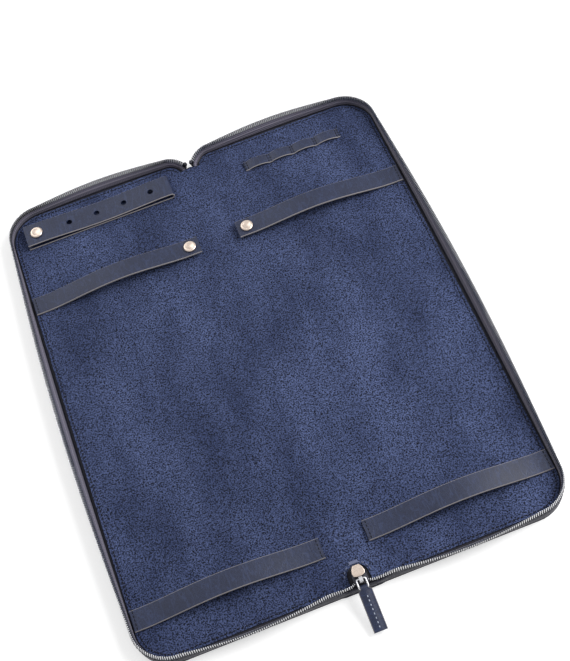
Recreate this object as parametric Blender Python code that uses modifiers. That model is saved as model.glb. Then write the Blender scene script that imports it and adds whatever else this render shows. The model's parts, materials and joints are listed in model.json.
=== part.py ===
"""A zip-round leather tie case lying open: two trays hinged on a spine, with straps for what goes inside.

X runs across the open case, Y along it and Z up. The origin is under the middle of the spine.
"""
import math

import bmesh
import bpy
from mathutils import Vector

for old_object in list(bpy.data.objects):
    bpy.data.objects.remove(old_object, do_unlink=True)

# Driving dimensions of the whole case, in metres
fit_gap = 0.0003
seam_weld = 0.00001
closed_thickness = 0.030
leaf_reach = 0.1515
leaf_half_length = 0.191
outer_radius = 0.027
notch_radius = 0.020
notch_tail = 0.005
near_wall_end = 0.0255
side_lean = 0.006
end_lean = 0.005
corner_lean = 0.0004

# Sheet thicknesses
cover_thickness = 0.0012
board_thickness = 0.0012
padding_thickness = 0.0012
lining_thickness = 0.0008

# Heights worked out from the sheets
board_base = cover_thickness + fit_gap
hinge_height = board_base + board_thickness
padding_base = hinge_height + fit_gap
lining_base = padding_base + padding_thickness + fit_gap
lining_top = lining_base + lining_thickness
floor_level = lining_top + fit_gap
rim_height = closed_thickness / 2 - fit_gap / 2
hinge_reach = closed_thickness / 2 - hinge_height
fold_relief = lining_top - hinge_height + fit_gap
soft_edge = hinge_reach + fold_relief
spine_soft_edge = hinge_reach - fold_relief

# Wall of gusset leather, zip tape and zip chain
gusset_thickness = 0.001
gusset_flange = 0.007
gusset_fold = 0.0008
gusset_top = 0.0111
tape_thickness = 0.0006
tape_clearance = 0.0006
chain_height = 0.003
chain_thickness = 0.0022
chain_inset = 0.0001
top_stop_length = 0.003
tape_inset = gusset_thickness + tape_clearance
chain_base = rim_height - chain_height

# Spine ends
spine_far_setback = 0.014
spine_near_overhang = 0.0005
spine_board_inset = 0.002
spine_lining_far_inset = 0.003
spine_lining_near_inset = 0.0045
spine_far_end = leaf_half_length - spine_far_setback
spine_near_end = leaf_half_length + spine_near_overhang
spine_lining_far_end = spine_far_end - spine_lining_far_inset
spine_lining_near_end = spine_near_end - spine_lining_near_inset

# Counts and shading
arc_steps = 8
run_steps = 10
round_steps = 24
corner_steps = 3
smooth_angle = math.radians(35)

LEFT = -1
RIGHT = 1


def make_collection(name):
    """Add a collection to the scene."""
    group = bpy.data.collections.new(name)
    bpy.context.scene.collection.children.link(group)
    return group


case_group = make_collection("tie_case")
cutter_group = make_collection("cutters")


def make_material(name, colour, roughness, metallic=0.0):
    """A Principled material with one colour, given as linear red, green and blue."""
    material = bpy.data.materials.new(name)
    material.use_nodes = True
    shader = material.node_tree.nodes["Principled BSDF"]
    shader.inputs["Base Color"].default_value = (*colour, 1.0)
    shader.inputs["Roughness"].default_value = roughness
    shader.inputs["Metallic"].default_value = metallic
    material.diffuse_color = (*colour, 1.0)
    return material


cover_leather = make_material("cover_leather", (0.062, 0.060, 0.090), 0.55)
strap_leather = make_material("strap_leather", (0.050, 0.058, 0.100), 0.5)
suede_lining = make_material("suede_lining", (0.030, 0.050, 0.140), 0.95)
stiffener = make_material("stiffener", (0.25, 0.20, 0.14), 0.8)
foam = make_material("foam", (0.55, 0.55, 0.52), 0.95)
zip_fabric = make_material("zip_fabric", (0.105, 0.100, 0.140), 0.9)
gunmetal = make_material("gunmetal", (0.20, 0.20, 0.21), 0.3, 1.0)
nickel = make_material("nickel", (0.60, 0.57, 0.53), 0.22, 1.0)


def make_pivot(name, place, parent=None):
    """An empty on a joint's axis that carries the pieces of one moving body."""
    pivot = bpy.data.objects.new(name, None)
    case_group.objects.link(pivot)
    pivot["place"] = tuple(place)
    pivot.location = place
    if parent:
        pivot.parent = parent
        pivot.location -= Vector(parent["place"])
    return pivot


def settle(piece, material, pivot=None):
    """Give a piece its material and collection, and hang it on its pivot without moving it."""
    for group in list(piece.users_collection):
        group.objects.unlink(piece)
    case_group.objects.link(piece)
    piece.data.materials.clear()
    piece.data.materials.append(material)
    if pivot:
        piece.parent = pivot
        piece.location -= Vector(pivot["place"])
    return piece


def shade_by_angle(piece):
    """Shade a mesh smooth, except across edges sharper than the smoothing angle."""
    piece.data.shade_smooth()
    piece.data.set_sharp_from_angle(angle=smooth_angle)


def store_cutter(piece):
    """Keep a cutting or joining solid out of the model itself."""
    for group in list(piece.users_collection):
        group.objects.unlink(piece)
    cutter_group.objects.link(piece)
    piece.hide_render = True
    piece.display_type = "WIRE"
    return piece


def add_boolean(piece, other, operation):
    """Cut a piece by another solid, or join the two."""
    step = piece.modifiers.new(operation.lower(), "BOOLEAN")
    step.operation = operation
    step.object = other
    step.solver = "EXACT"


def panel(name, outline, base, thickness, material, pivot=None, holes=()):
    """A flat sheet from an outline of (x, y) points, with round holes given as (x, y, radius)."""
    sheet = bpy.data.curves.new(name, "CURVE")
    sheet.dimensions = "2D"
    sheet.fill_mode = "BOTH"
    sheet.extrude = thickness / 2
    rings = [list(outline)]
    for hole_x, hole_y, radius in holes:
        turn = [math.tau * step / round_steps for step in range(round_steps)]
        rings.append([(hole_x + radius * math.cos(a), hole_y + radius * math.sin(a)) for a in turn])
    for ring in rings:
        spline = sheet.splines.new("POLY")
        spline.points.add(len(ring) - 1)
        spline.use_cyclic_u = True
        for point, (x, y) in zip(spline.points, ring):
            point.co = (x, y, 0, 1)
    piece = bpy.data.objects.new(name, sheet)
    case_group.objects.link(piece)
    piece.location = (0, 0, base + thickness / 2)
    return settle(piece, material, pivot)


def sheet_piece(name, rows, thickness, offset, material, pivot=None):
    """An open surface from a grid of rows of points, given a thickness."""
    mesh = bpy.data.meshes.new(name)
    build = bmesh.new()
    grid = [[build.verts.new(point) for point in row] for row in rows]
    for low, high in zip(grid, grid[1:]):
        for a, b, c, d in zip(low, low[1:], high[1:], high):
            build.faces.new((a, b, c, d))
    build.to_mesh(mesh)
    build.free()
    piece = bpy.data.objects.new(name, mesh)
    case_group.objects.link(piece)
    wall = piece.modifiers.new("thickness", "SOLIDIFY")
    wall.thickness = thickness
    wall.offset = offset
    wall.use_even_offset = True
    bpy.context.view_layer.objects.active = piece
    bpy.ops.object.modifier_apply(modifier=wall.name)
    shade_by_angle(piece)
    return settle(piece, material, pivot)


def ribbon(name, path, half_widths, across, thickness, offset, material, pivot=None):
    """A strip that follows a path of points, widened to both sides along one direction."""
    across = Vector(across)
    low = [Vector(point) - across * half for point, half in zip(path, half_widths)]
    high = [Vector(point) + across * half for point, half in zip(path, half_widths)]
    return sheet_piece(name, [low, high], thickness, offset, material, pivot)


def strap(name, path, width, thickness, offset, pivot):
    """A strip of strap leather of one width that runs along X."""
    return ribbon(name, path, [width / 2] * len(path), (0, 1, 0), thickness, offset, strap_leather, pivot)


def turned(name, profile, place, material, pivot=None, closed_profile=False):
    """A round piece from a profile of (radius, height) points that runs down its outer side."""
    mesh = bpy.data.meshes.new(name)
    build = bmesh.new()
    corners = [build.verts.new((radius, 0, height)) for radius, height in profile]
    edges = [build.edges.new(pair) for pair in zip(corners, corners[1:])]
    if closed_profile:
        edges.append(build.edges.new((corners[-1], corners[0])))
    bmesh.ops.spin(build, geom=corners + edges, cent=(0, 0, 0), axis=(0, 0, 1), angle=math.tau,
                   steps=round_steps, use_merge=True)
    bmesh.ops.remove_doubles(build, verts=build.verts, dist=seam_weld)
    bmesh.ops.recalc_face_normals(build, faces=build.faces)
    build.to_mesh(mesh)
    build.free()
    piece = bpy.data.objects.new(name, mesh)
    piece.location = place
    shade_by_angle(piece)
    return settle(piece, material, pivot)


def block(name, low, high):
    """A box between two corners, as a primitive cube with its size applied."""
    low = Vector(low)
    high = Vector(high)
    bpy.ops.mesh.primitive_cube_add(size=1, location=(0, 0, 0))
    piece = bpy.context.active_object
    piece.name = name
    piece.data.name = name
    for corner in piece.data.vertices:
        share = Vector((corner.co.x + 0.5, corner.co.y + 0.5, corner.co.z + 0.5))
        corner.co = [a + (b - a) * s for a, b, s in zip(low, high, share)]
    return piece


def post(name, x, y, low, high, radius):
    """An upright cylinder with capped ends."""
    bpy.ops.mesh.primitive_cylinder_add(vertices=round_steps, radius=radius, depth=high - low,
                                        location=(x, y, (low + high) / 2))
    piece = bpy.context.active_object
    piece.name = name
    piece.data.name = name
    return piece


def arc(centre_x, centre_y, radius, start, end, steps):
    """Wall stations (x, y, outward x, outward y, lean) along an arc, with angles in degrees."""
    stations = []
    for step in range(steps + 1):
        angle = math.radians(start + (end - start) * step / steps)
        out_x = math.cos(angle)
        out_y = math.sin(angle)
        stations.append((centre_x + radius * out_x, centre_y + radius * out_y, out_x, out_y, corner_lean))
    return stations


def run(start, end, outward, lean):
    """Wall stations along a straight run that leans out most in its middle."""
    stations = []
    for step in range(1, run_steps):
        part = step / run_steps
        bulge = math.sin(math.pi * part) ** 0.7
        x = start[0] + (end[0] - start[0]) * part
        y = start[1] + (end[1] - start[1]) * part
        stations.append((x, y, *outward, corner_lean + (lean - corner_lean) * bulge))
    return stations


def wall_path(tail):
    """Stations round the right leaf, from the far notch by the outer side to the near end."""
    notch_x = soft_edge + notch_radius
    notch_y = leaf_half_length - notch_radius
    corner_x = leaf_reach - outer_radius
    corner_y = leaf_half_length - outer_radius
    stations = [(soft_edge, notch_y - tail, -1, 0, corner_lean)]
    stations += arc(notch_x, notch_y, notch_radius, 180, 90, arc_steps)
    stations += run((notch_x, leaf_half_length), (corner_x, leaf_half_length), (0, 1), end_lean)
    stations += arc(corner_x, corner_y, outer_radius, 90, 0, arc_steps)
    stations += run((leaf_reach, corner_y), (leaf_reach, -corner_y), (1, 0), side_lean)
    stations += arc(corner_x, -corner_y, outer_radius, 0, -90, arc_steps)
    stations += run((corner_x, -leaf_half_length), (near_wall_end, -leaf_half_length), (0, -1), end_lean)
    stations.append((near_wall_end, -leaf_half_length, 0, -1, corner_lean))
    return stations


def wall_rows(side, stations, profile):
    """Rows of points round a leaf, one for each (inset, height) point of a profile."""
    rows = []
    for inset, height in profile:
        share = max(0.0, (height - board_base) / (rim_height - board_base))
        row = []
        for x, y, out_x, out_y, lean in stations:
            shift = lean * share - inset
            row.append((side * (x + out_x * shift), y + out_y * shift, height))
        rows.append(row)
    return rows


def wall(name, side, stations, profile, thickness, material, pivot):
    """A sheet that stands round a leaf; its profile runs up its outer face from the foot."""
    rows = wall_rows(side, stations, profile)
    if side == RIGHT:
        rows = [row[::-1] for row in rows]
    return sheet_piece(name, rows, thickness, -1, material, pivot)


def rail(name, side, stations, inset, low, high, thickness, material, pivot):
    """A strip that stands round a leaf, with level edges however far the wall leans."""
    section = [(inset, low), (inset, high), (inset + thickness, high), (inset + thickness, low)]
    mesh = bpy.data.meshes.new(name)
    build = bmesh.new()
    rows = [[build.verts.new(point) for point in row] for row in wall_rows(side, stations, section)]
    for row, after in zip(rows, rows[1:] + rows[:1]):
        for a, b, c, d in zip(row, row[1:], after[1:], after):
            build.faces.new((a, b, c, d))
    for end in (0, -1):
        build.faces.new([row[end] for row in rows])
    bmesh.ops.recalc_face_normals(build, faces=build.faces)
    build.to_mesh(mesh)
    build.free()
    piece = bpy.data.objects.new(name, mesh)
    shade_by_angle(piece)
    return settle(piece, material, pivot)


def leaf_outline(side, inset, inner_edge):
    """Outline of a leaf's flat sheet, set in from the wall's foot and cut off near the hinge."""
    tail = notch_tail + fit_gap
    points = [(x - out_x * inset, y - out_y * inset) for x, y, out_x, out_y, _ in wall_path(tail)]
    far_y = points[0][1]
    near_y = points[-1][1]
    points.append((max(inner_edge, soft_edge), near_y))
    if inner_edge < soft_edge:
        points.append((inner_edge, near_y + soft_edge - inner_edge))
    points.append((inner_edge, far_y))
    return [(side * x, y) for x, y in points]


# Pivots of the moving bodies
left_leaf = make_pivot("left_leaf_pivot", (-hinge_reach, 0, hinge_height))
right_leaf = make_pivot("right_leaf_pivot", (hinge_reach, 0, hinge_height))
leaves = {LEFT: ("left", left_leaf), RIGHT: ("right", right_leaf)}

# Press studs: a post through lining and padding carries a stud; the strap carries socket and cap
snap_cap_radius = 0.0048
snap_cap_height = 0.0015
snap_socket_radius = 0.004
snap_socket_bore = 0.0024
snap_socket_height = 0.0017
snap_stud_base = 0.0007
snap_stud_radius = 0.0018
snap_stud_height = 0.0013
snap_washer_thickness = 0.0005
snap_shank_radius = 0.0013
snap_hole_radius = snap_shank_radius + fit_gap
snap_pocket_radius = snap_socket_radius + fit_gap


def snap_strap_base(surface):
    """Height of a strap's underside over a press stud that sits on the given surface."""
    socket_base = surface + fit_gap + snap_stud_base + fit_gap
    return socket_base + snap_socket_height + fit_gap


def press_stud(prefix, x, y, surface, strap_thickness, leaf_pivot, flap_pivot):
    """The four pieces of one press stud, from the padding up."""
    base = surface + fit_gap
    head = base + snap_stud_base
    washer_top = padding_base + snap_washer_thickness
    turned(prefix + "_rivet", [(0, surface), (snap_shank_radius, surface), (snap_shank_radius, washer_top),
                               (snap_socket_radius, washer_top), (snap_socket_radius, padding_base),
                               (0, padding_base)], (x, y, 0), nickel, leaf_pivot)
    neck = snap_stud_radius * 0.8
    tip = head + snap_stud_height
    turned(prefix + "_stud", [(0, tip), (snap_stud_radius * 0.7, tip),
                              (snap_stud_radius, head + snap_stud_height * 0.6), (neck, head),
                              (snap_socket_radius, head), (snap_socket_radius, base), (0, base)],
           (x, y, 0), nickel, leaf_pivot)
    socket_base = head + fit_gap
    socket_top = socket_base + snap_socket_height
    turned(prefix + "_socket", [(snap_socket_bore, socket_top), (snap_socket_radius * 0.8, socket_top),
                                (snap_socket_radius, socket_top - snap_socket_height / 3),
                                (snap_socket_radius, socket_base), (snap_socket_bore, socket_base)],
           (x, y, 0), nickel, flap_pivot, closed_profile=True)
    strap_base = socket_top + fit_gap
    cap_base = strap_base + strap_thickness + fit_gap
    cap_top = cap_base + snap_cap_height
    turned(prefix + "_cap", [(0, cap_top), (snap_cap_radius * 0.6, cap_top),
                             (snap_cap_radius * 0.88, cap_base + snap_cap_height * 0.75),
                             (snap_cap_radius, cap_base + snap_cap_height * 0.4),
                             (snap_cap_radius, cap_base), (snap_shank_radius, cap_base),
                             (snap_shank_radius, strap_base), (0, strap_base)],
           (x, y, 0), nickel, flap_pivot)


# Straps on the leaves, placed from the ends and the outer side of a leaf
strap_wall_gap = 0.0035
strap_width = 0.015
strap_thickness = 0.0016
tie_strap_from_far_end = 0.0857
tie_strap_rise = 0.0055
tie_tab_length = 0.009
tie_snap_inset = 0.0078
tail_strap_from_near_end = 0.0353
tail_strap_rise = 0.0072
tail_sewn_length = 0.008
strap_reach = leaf_reach - strap_wall_gap
tie_strap_y = leaf_half_length - tie_strap_from_far_end
tail_strap_y = tail_strap_from_near_end - leaf_half_length
tie_snap_x = soft_edge + tie_snap_inset
strap_inner_end = soft_edge + fit_gap

# Cuff-link strap on the left leaf
cuff_wall_gap = 0.0131
cuff_width = 0.0195
cuff_thickness = 0.0012
cuff_from_far_end = 0.0237
cuff_snap_inset = 0.0092
cuff_rise = 0.0026
cuff_fold_clearance = 0.0036
cuff_turned_length = 0.0052
cuff_hole_radius = 0.00225
cuff_first_hole_inset = 0.0172
cuff_last_hole_gap = 0.0263
cuff_hole_count = 4
cuff_reach = leaf_reach - cuff_wall_gap
cuff_y = leaf_half_length - cuff_from_far_end
cuff_snap_x = cuff_reach - cuff_snap_inset
cuff_inner_end = soft_edge + cuff_fold_clearance
cuff_hole_first_x = cuff_inner_end + cuff_first_hole_inset
cuff_hole_last_x = cuff_snap_x - cuff_last_hole_gap
cuff_hole_pitch = (cuff_hole_last_x - cuff_hole_first_x) / (cuff_hole_count - 1)
cuff_base_top = floor_level + cuff_thickness
cuff_strap_base = snap_strap_base(cuff_base_top)


def leaf_holes(side, radius):
    """Places of the press-stud holes in one leaf's sheets."""
    holes = [(side * tie_snap_x, tie_strap_y, radius)]
    if side == LEFT:
        holes.append((-cuff_snap_x, cuff_y, radius))
    return holes


# Sheets and walls of each leaf, from the leather outside to the suede inside
for side, (word, pivot) in leaves.items():
    sheet_inset = gusset_thickness + fit_gap
    board_inset = gusset_flange + fit_gap
    edge = hinge_reach + fit_gap / 2
    panel(word + "_cover", leaf_outline(side, 0, edge), 0, cover_thickness, cover_leather, pivot)
    panel(word + "_board", leaf_outline(side, board_inset, edge), board_base, board_thickness, stiffener,
          pivot)
    panel(word + "_padding", leaf_outline(side, sheet_inset, soft_edge), padding_base, padding_thickness,
          foam, pivot, leaf_holes(side, snap_pocket_radius))
    panel(word + "_lining", leaf_outline(side, sheet_inset, soft_edge), lining_base, lining_thickness,
          suede_lining, pivot, leaf_holes(side, snap_hole_radius))
    gusset_profile = [(gusset_flange, board_base), (gusset_fold, board_base),
                      (0, board_base + gusset_fold), (0, lining_top), (0, gusset_top)]
    wall(word + "_gusset", side, wall_path(notch_tail), gusset_profile, gusset_thickness, cover_leather,
         pivot)
    rail(word + "_zip_tape", side, wall_path(notch_tail), tape_inset, floor_level, chain_base - fit_gap,
         tape_thickness, zip_fabric, pivot)
    chain_tail = notch_tail - top_stop_length - fit_gap
    rail(word + "_zip_chain", side, wall_path(chain_tail), chain_inset, chain_base, rim_height,
         chain_thickness, gunmetal, pivot)
    notch_y = leaf_half_length - notch_radius
    stop_stations = [(soft_edge, notch_y - notch_tail, -1, 0, corner_lean),
                     (soft_edge, notch_y - chain_tail - fit_gap, -1, 0, corner_lean)]
    rail(word + "_top_stop", side, stop_stations, chain_inset, chain_base, rim_height, chain_thickness,
         nickel, pivot)


def spine_sheet(half_width, near_end, far_end):
    """A plain rectangle on the spine."""
    return [(-half_width, -near_end), (half_width, -near_end), (half_width, far_end), (-half_width, far_end)]


# Spine sheets; the lining has an arched opening round the zip slider
spine_edge = hinge_reach - fit_gap / 2
panel("spine_cover", spine_sheet(spine_edge, spine_near_end, spine_far_end), 0, cover_thickness,
      cover_leather)
panel("spine_board", spine_sheet(spine_edge, spine_near_end - spine_board_inset,
                                 spine_far_end - spine_board_inset), board_base, board_thickness, stiffener)
panel("spine_padding", spine_sheet(spine_soft_edge, spine_near_end - spine_board_inset,
                                   spine_far_end - spine_board_inset), padding_base, padding_thickness, foam)
arch_radius = 0.0075
arch_inset = 0.01
arch_centre_y = arch_inset - spine_near_end
spine_lining_outline = [(-spine_soft_edge, -spine_lining_near_end), (-spine_soft_edge, spine_lining_far_end),
                        (spine_soft_edge, spine_lining_far_end), (spine_soft_edge, -spine_lining_near_end),
                        (arch_radius, -spine_lining_near_end)]
for arch_x, arch_y, *_ in arc(0, arch_centre_y, arch_radius, 0, 180, arc_steps * 2):
    spine_lining_outline.append((arch_x, arch_y))
spine_lining_outline.append((-arch_radius, -spine_lining_near_end))
panel("spine_lining", spine_lining_outline, lining_base, lining_thickness, suede_lining)


def raised_path(start_x, end_x, y, base, end_base, rise, flat, steps):
    """Underside of a strap from one x to another that lifts in the middle between two flat ends."""
    path = [(start_x, y, base)]
    low = start_x + flat
    high = end_x - flat
    for step in range(steps + 1):
        part = step / steps
        blend = part * part * (3 - 2 * part)
        height = base + (end_base - base) * blend + rise * math.sin(math.pi * part) ** 1.5
        path.append((low + (high - low) * part, y, height))
    path.append((end_x, y, end_base))
    return path


# Tail straps, sewn down at both ends
for side, (word, pivot) in leaves.items():
    ends = sorted((side * strap_inner_end, side * strap_reach))
    path = raised_path(*ends, tail_strap_y, floor_level, floor_level, tail_strap_rise, tail_sewn_length,
                       arc_steps * 2)
    strap(word + "_tail_strap", path, strap_width, strap_thickness, 1, pivot)

# Tie straps, sewn at the outer wall and fastened by a press stud beside the spine
tie_hinge_x = strap_reach - tie_tab_length
tie_snap_base = snap_strap_base(lining_top)
for side, (word, pivot) in leaves.items():
    tab_ends = sorted((side * (tie_hinge_x + fit_gap / 2), side * strap_reach))
    tab_path = [(x, tie_strap_y, floor_level) for x in tab_ends]
    strap(word + "_tie_strap_tab", tab_path, strap_width, strap_thickness, 1, pivot)
    strap_pivot = make_pivot(word + "_tie_strap_pivot",
                             (side * tie_hinge_x, tie_strap_y, floor_level + strap_thickness), pivot)
    outer = tie_hinge_x - fit_gap / 2
    path = [(tie_snap_x - tie_snap_inset + fit_gap, tie_strap_y, tie_snap_base)]
    flat_end = tie_snap_x + snap_cap_radius + fit_gap
    for x, y, z in raised_path(-outer, -flat_end, tie_strap_y, floor_level, tie_snap_base, tie_strap_rise,
                               0, arc_steps * 2)[1:-1][::-1]:
        path.append((-x, y, z))
    path = [(side * x, y, z) for x, y, z in path]
    if side == LEFT:
        path = path[::-1]
    tie_strap = strap(word + "_tie_strap", path, strap_width, strap_thickness, 1, strap_pivot)
    drill = store_cutter(post(word + "_tie_strap_drill", side * tie_snap_x, tie_strap_y, lining_base,
                              rim_height, snap_hole_radius))
    add_boolean(tie_strap, drill, "DIFFERENCE")
    press_stud(word + "_snap", side * tie_snap_x, tie_strap_y, lining_top, strap_thickness, pivot,
               strap_pivot)

# Cuff-link strap: a sewn base that turns up and over at the spine, and a flap with holes
turn_radius = (cuff_strap_base - floor_level) / 2
turn_x = -(cuff_inner_end + cuff_thickness / 2 + turn_radius)
base_middle = floor_level + cuff_thickness / 2
turn_z = base_middle + turn_radius
cuff_hinge_x = turn_x - cuff_turned_length
cuff_path = [(-cuff_reach, cuff_y, base_middle)]
for step in range(arc_steps + 1):
    angle = math.pi * step / arc_steps
    cuff_path.append((turn_x + turn_radius * math.sin(angle), cuff_y,
                      turn_z - turn_radius * math.cos(angle)))
cuff_path.append((cuff_hinge_x + fit_gap / 2, cuff_y, turn_z + turn_radius))
cuff_base = strap("cuff_strap_base", cuff_path, cuff_width, cuff_thickness, 0, left_leaf)
add_boolean(cuff_base, store_cutter(post("cuff_base_drill", -cuff_snap_x, cuff_y, lining_base,
                                         cuff_strap_base, snap_hole_radius)), "DIFFERENCE")
cuff_pivot = make_pivot("cuff_strap_pivot", (cuff_hinge_x, cuff_y, cuff_strap_base + cuff_thickness),
                        left_leaf)
cuff_flat = cuff_reach - cuff_snap_x + snap_cap_radius
flap_path = raised_path(-cuff_reach, cuff_hinge_x - fit_gap / 2, cuff_y, cuff_strap_base, cuff_strap_base,
                        cuff_rise, cuff_flat, arc_steps * 2)
flap = strap("cuff_strap", flap_path, cuff_width, cuff_thickness, 1, cuff_pivot)
flap_holes = [(-cuff_snap_x, snap_hole_radius)]
for number in range(cuff_hole_count):
    flap_holes.append((-cuff_hole_first_x - number * cuff_hole_pitch, cuff_hole_radius))
for number, (hole_x, radius) in enumerate(flap_holes):
    drill = store_cutter(post("cuff_drill_" + str(number), hole_x, cuff_y, cuff_base_top,
                              rim_height, radius))
    add_boolean(flap, drill, "DIFFERENCE")
press_stud("cuff_snap", -cuff_snap_x, cuff_y, cuff_base_top, cuff_thickness, left_leaf, cuff_pivot)

# Collar-stay band on the right leaf: loops stand up between lands that are sewn down
band_inset = 0.025
band_length = 0.0793
band_width = 0.0088
band_thickness = 0.001
band_from_far_end = 0.0291
band_start_x = soft_edge + band_inset
band_y = leaf_half_length - band_from_far_end
loop_count = 4
loop_width = 0.0162
loop_rise = 0.0028
land_width = (band_length - loop_count * loop_width) / (loop_count + 1)
band_path = [(band_start_x, band_y, floor_level)]
for number in range(loop_count):
    loop_start = band_start_x + land_width + number * (loop_width + land_width)
    for step in range(arc_steps + 1):
        part = step / arc_steps
        height = floor_level + loop_rise * math.sin(math.pi * part) ** 0.6
        band_path.append((loop_start + loop_width * part, band_y, height))
band_path.append((band_start_x + band_length, band_y, floor_level))
strap("collar_stay_band", band_path, band_width, band_thickness, 1, right_leaf)

# Near end of the zip on the spine: joined chain, its tape, the bottom stop and a leather end wall
slider_lower_thickness = 0.0008
joint_chain_height = 0.0032
joint_chain_width = 0.0022
joint_chain_split_inset = 0.011
joint_chain_rear_inset = 0.0175
joint_chain_turn = 0.008
joint_tape_edge = 0.0049
joint_tape_length = 0.004
bottom_stop_length = 0.0024
bottom_stop_half_width = 0.003
end_wall_half_width = 0.0092
end_wall_thickness = 0.0012
end_wall_top = 0.0065
slider_lower_top = floor_level + slider_lower_thickness
joint_chain_low = slider_lower_top + fit_gap
joint_chain_split_y = joint_chain_split_inset - spine_near_end
joint_chain_rear_y = joint_chain_rear_inset - spine_near_end
chain_middle = joint_chain_low + joint_chain_height / 2
half_chain = joint_chain_width / 2 + fit_gap / 3
tape_y = joint_chain_split_y + joint_tape_length / 2
tape_start = half_chain + joint_chain_width / 2 + fit_gap
for side, (word, _) in leaves.items():
    path = [(side * half_chain, joint_chain_rear_y, chain_middle)]
    for x, y, *_ in arc(half_chain + joint_chain_turn, joint_chain_split_y, joint_chain_turn, 180, 270,
                        arc_steps):
        path.append((side * x, y, chain_middle))
    ribbon(word + "_zip_end_chain", path, [joint_chain_height / 2] * len(path), (0, 0, 1),
           joint_chain_width, 0, gunmetal)
    path = [(side * tape_start, tape_y, chain_middle), (side * joint_tape_edge, tape_y, chain_middle),
            (side * joint_tape_edge, tape_y, lining_base + tape_thickness / 2)]
    ribbon(word + "_zip_end_tape", path, [joint_tape_length / 2] * len(path), (0, 1, 0), tape_thickness, 0,
           zip_fabric)
stop_near_y = joint_chain_rear_y + fit_gap
settle(block("zip_bottom_stop", (-bottom_stop_half_width, stop_near_y, floor_level),
             (bottom_stop_half_width, stop_near_y + bottom_stop_length,
              joint_chain_low + joint_chain_height + fit_gap)), nickel)
settle(block("spine_end_wall", (-end_wall_half_width, -spine_near_end + fit_gap, board_base),
             (end_wall_half_width, -spine_near_end + fit_gap + end_wall_thickness, end_wall_top)),
       cover_leather)

# Zip slider: two plates joined by side flanges behind and a nose in front, with a bridge and cap on top
slider_length = 0.013
slider_mouth_inset = 0.002
slider_rear_half_width = 0.0036
slider_mouth_half_width = 0.005
slider_upper_thickness = 0.001
flange_length = 0.0032
flange_thickness = 0.001
flange_slot = 0.0013
nose_radius = 0.0009
nose_inset = 0.0013
weld_overlap = 0.0001
slider_mouth_y = slider_mouth_inset - spine_near_end
slider_rear_y = slider_mouth_y + slider_length
nose_y = slider_mouth_y + nose_inset
slider_upper_base = joint_chain_low + joint_chain_height + fit_gap
slider_upper_top = slider_upper_base + slider_upper_thickness
slider_middle_y = (slider_rear_y + slider_mouth_y) / 2
slider_pivot = make_pivot("zip_slider_pivot", (0, slider_middle_y, chain_middle))


def slider_plate(name, low, high):
    """One shield-shaped plate of the slider as a mesh."""
    piece = block(name, (-slider_mouth_half_width, slider_mouth_y, low),
                  (slider_mouth_half_width, slider_rear_y, high))
    taper = slider_rear_half_width / slider_mouth_half_width
    for corner in piece.data.vertices:
        if corner.co.y > slider_middle_y:
            corner.co.x *= taper
    return piece


slider_body = slider_plate("slider_body", floor_level, slider_lower_top)
slider_parts = [slider_plate("slider_upper_plate", slider_upper_base, slider_upper_top)]
nose = post("slider_nose", 0, nose_y, slider_lower_top - weld_overlap, slider_upper_base + weld_overlap,
            nose_radius)
slider_parts.append(nose)
flange_inner = half_chain + joint_chain_width / 2 + fit_gap
for side in (LEFT, RIGHT):
    for low, high in ((slider_lower_top - weld_overlap, chain_middle - flange_slot / 2),
                      (chain_middle + flange_slot / 2, slider_upper_base + weld_overlap)):
        edges = sorted((side * flange_inner, side * (flange_inner + flange_thickness)))
        slider_parts.append(block("slider_flange", (edges[0], slider_rear_y - flange_length, low),
                                  (edges[1], slider_rear_y - weld_overlap, high)))
for part in slider_parts:
    add_boolean(slider_body, store_cutter(part), "UNION")
settle(slider_body, nickel, slider_pivot)

# Bridge and cap of the slider
puller_axis_inset = 0.0023
puller_axis_rise = 0.0018
link_radius = 0.0006
bridge_thickness = 0.0009
bridge_half_width = 0.0012
bridge_rear_inset = 0.003
bridge_clearance = 0.0005
cap_half_width = 0.0043
cap_rear_inset = 0.002
cap_length = 0.0077
cap_thickness = 0.001
puller_axis_y = slider_mouth_y + puller_axis_inset
puller_axis_z = slider_upper_top + puller_axis_rise
bridge_rear_y = slider_rear_y - bridge_rear_inset
cap_front_y = slider_rear_y - cap_rear_inset - cap_length
bridge_top = puller_axis_z + link_radius + bridge_clearance + bridge_thickness
bridge_front_y = puller_axis_y - link_radius - bridge_clearance - bridge_thickness
bridge_foot = slider_upper_top + fit_gap
bridge_path = [(0, bridge_rear_y, bridge_foot), (0, bridge_rear_y, bridge_top),
               (0, bridge_front_y, bridge_top), (0, bridge_front_y, bridge_foot)]
ribbon("slider_bridge", bridge_path, [bridge_half_width] * len(bridge_path), (1, 0, 0), bridge_thickness,
       -1, nickel, slider_pivot)
cap_shares = ((0.45, 0), (0.9, 0.1), (1, 0.35), (0.85, 0.7), (0.5, 1))
cap_outline = [(cap_half_width * a, cap_front_y + cap_length * b) for a, b in cap_shares]
cap_outline += [(-x, y) for x, y in cap_outline[::-1]]
panel("slider_cap", cap_outline, bridge_top + fit_gap, cap_thickness, nickel, slider_pivot)

# Puller: a metal link through the bridge and a folded leather tab sewn to itself
puller_droop = math.radians(15)
link_length = 0.008
link_half_width = 0.0032
tab_half_width = 0.0047
tab_neck_half_width = 0.0023
tab_end = 0.0335
tab_neck_end = 0.0115
tab_thickness = 0.0012
tab_spacing = tab_thickness / 2 + fit_gap / 2
wrap_radius = link_radius + fit_gap + tab_thickness / 2
puller_pivot = make_pivot("zip_puller_pivot", (0, puller_axis_y, puller_axis_z), slider_pivot)


def hang(x, along, above):
    """A point of the puller, from its distance along and above the drooping line, in case space."""
    y = puller_axis_y - along * math.cos(puller_droop) - above * math.sin(puller_droop)
    z = puller_axis_z - along * math.sin(puller_droop) + above * math.cos(puller_droop)
    return (x, y, z)


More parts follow.
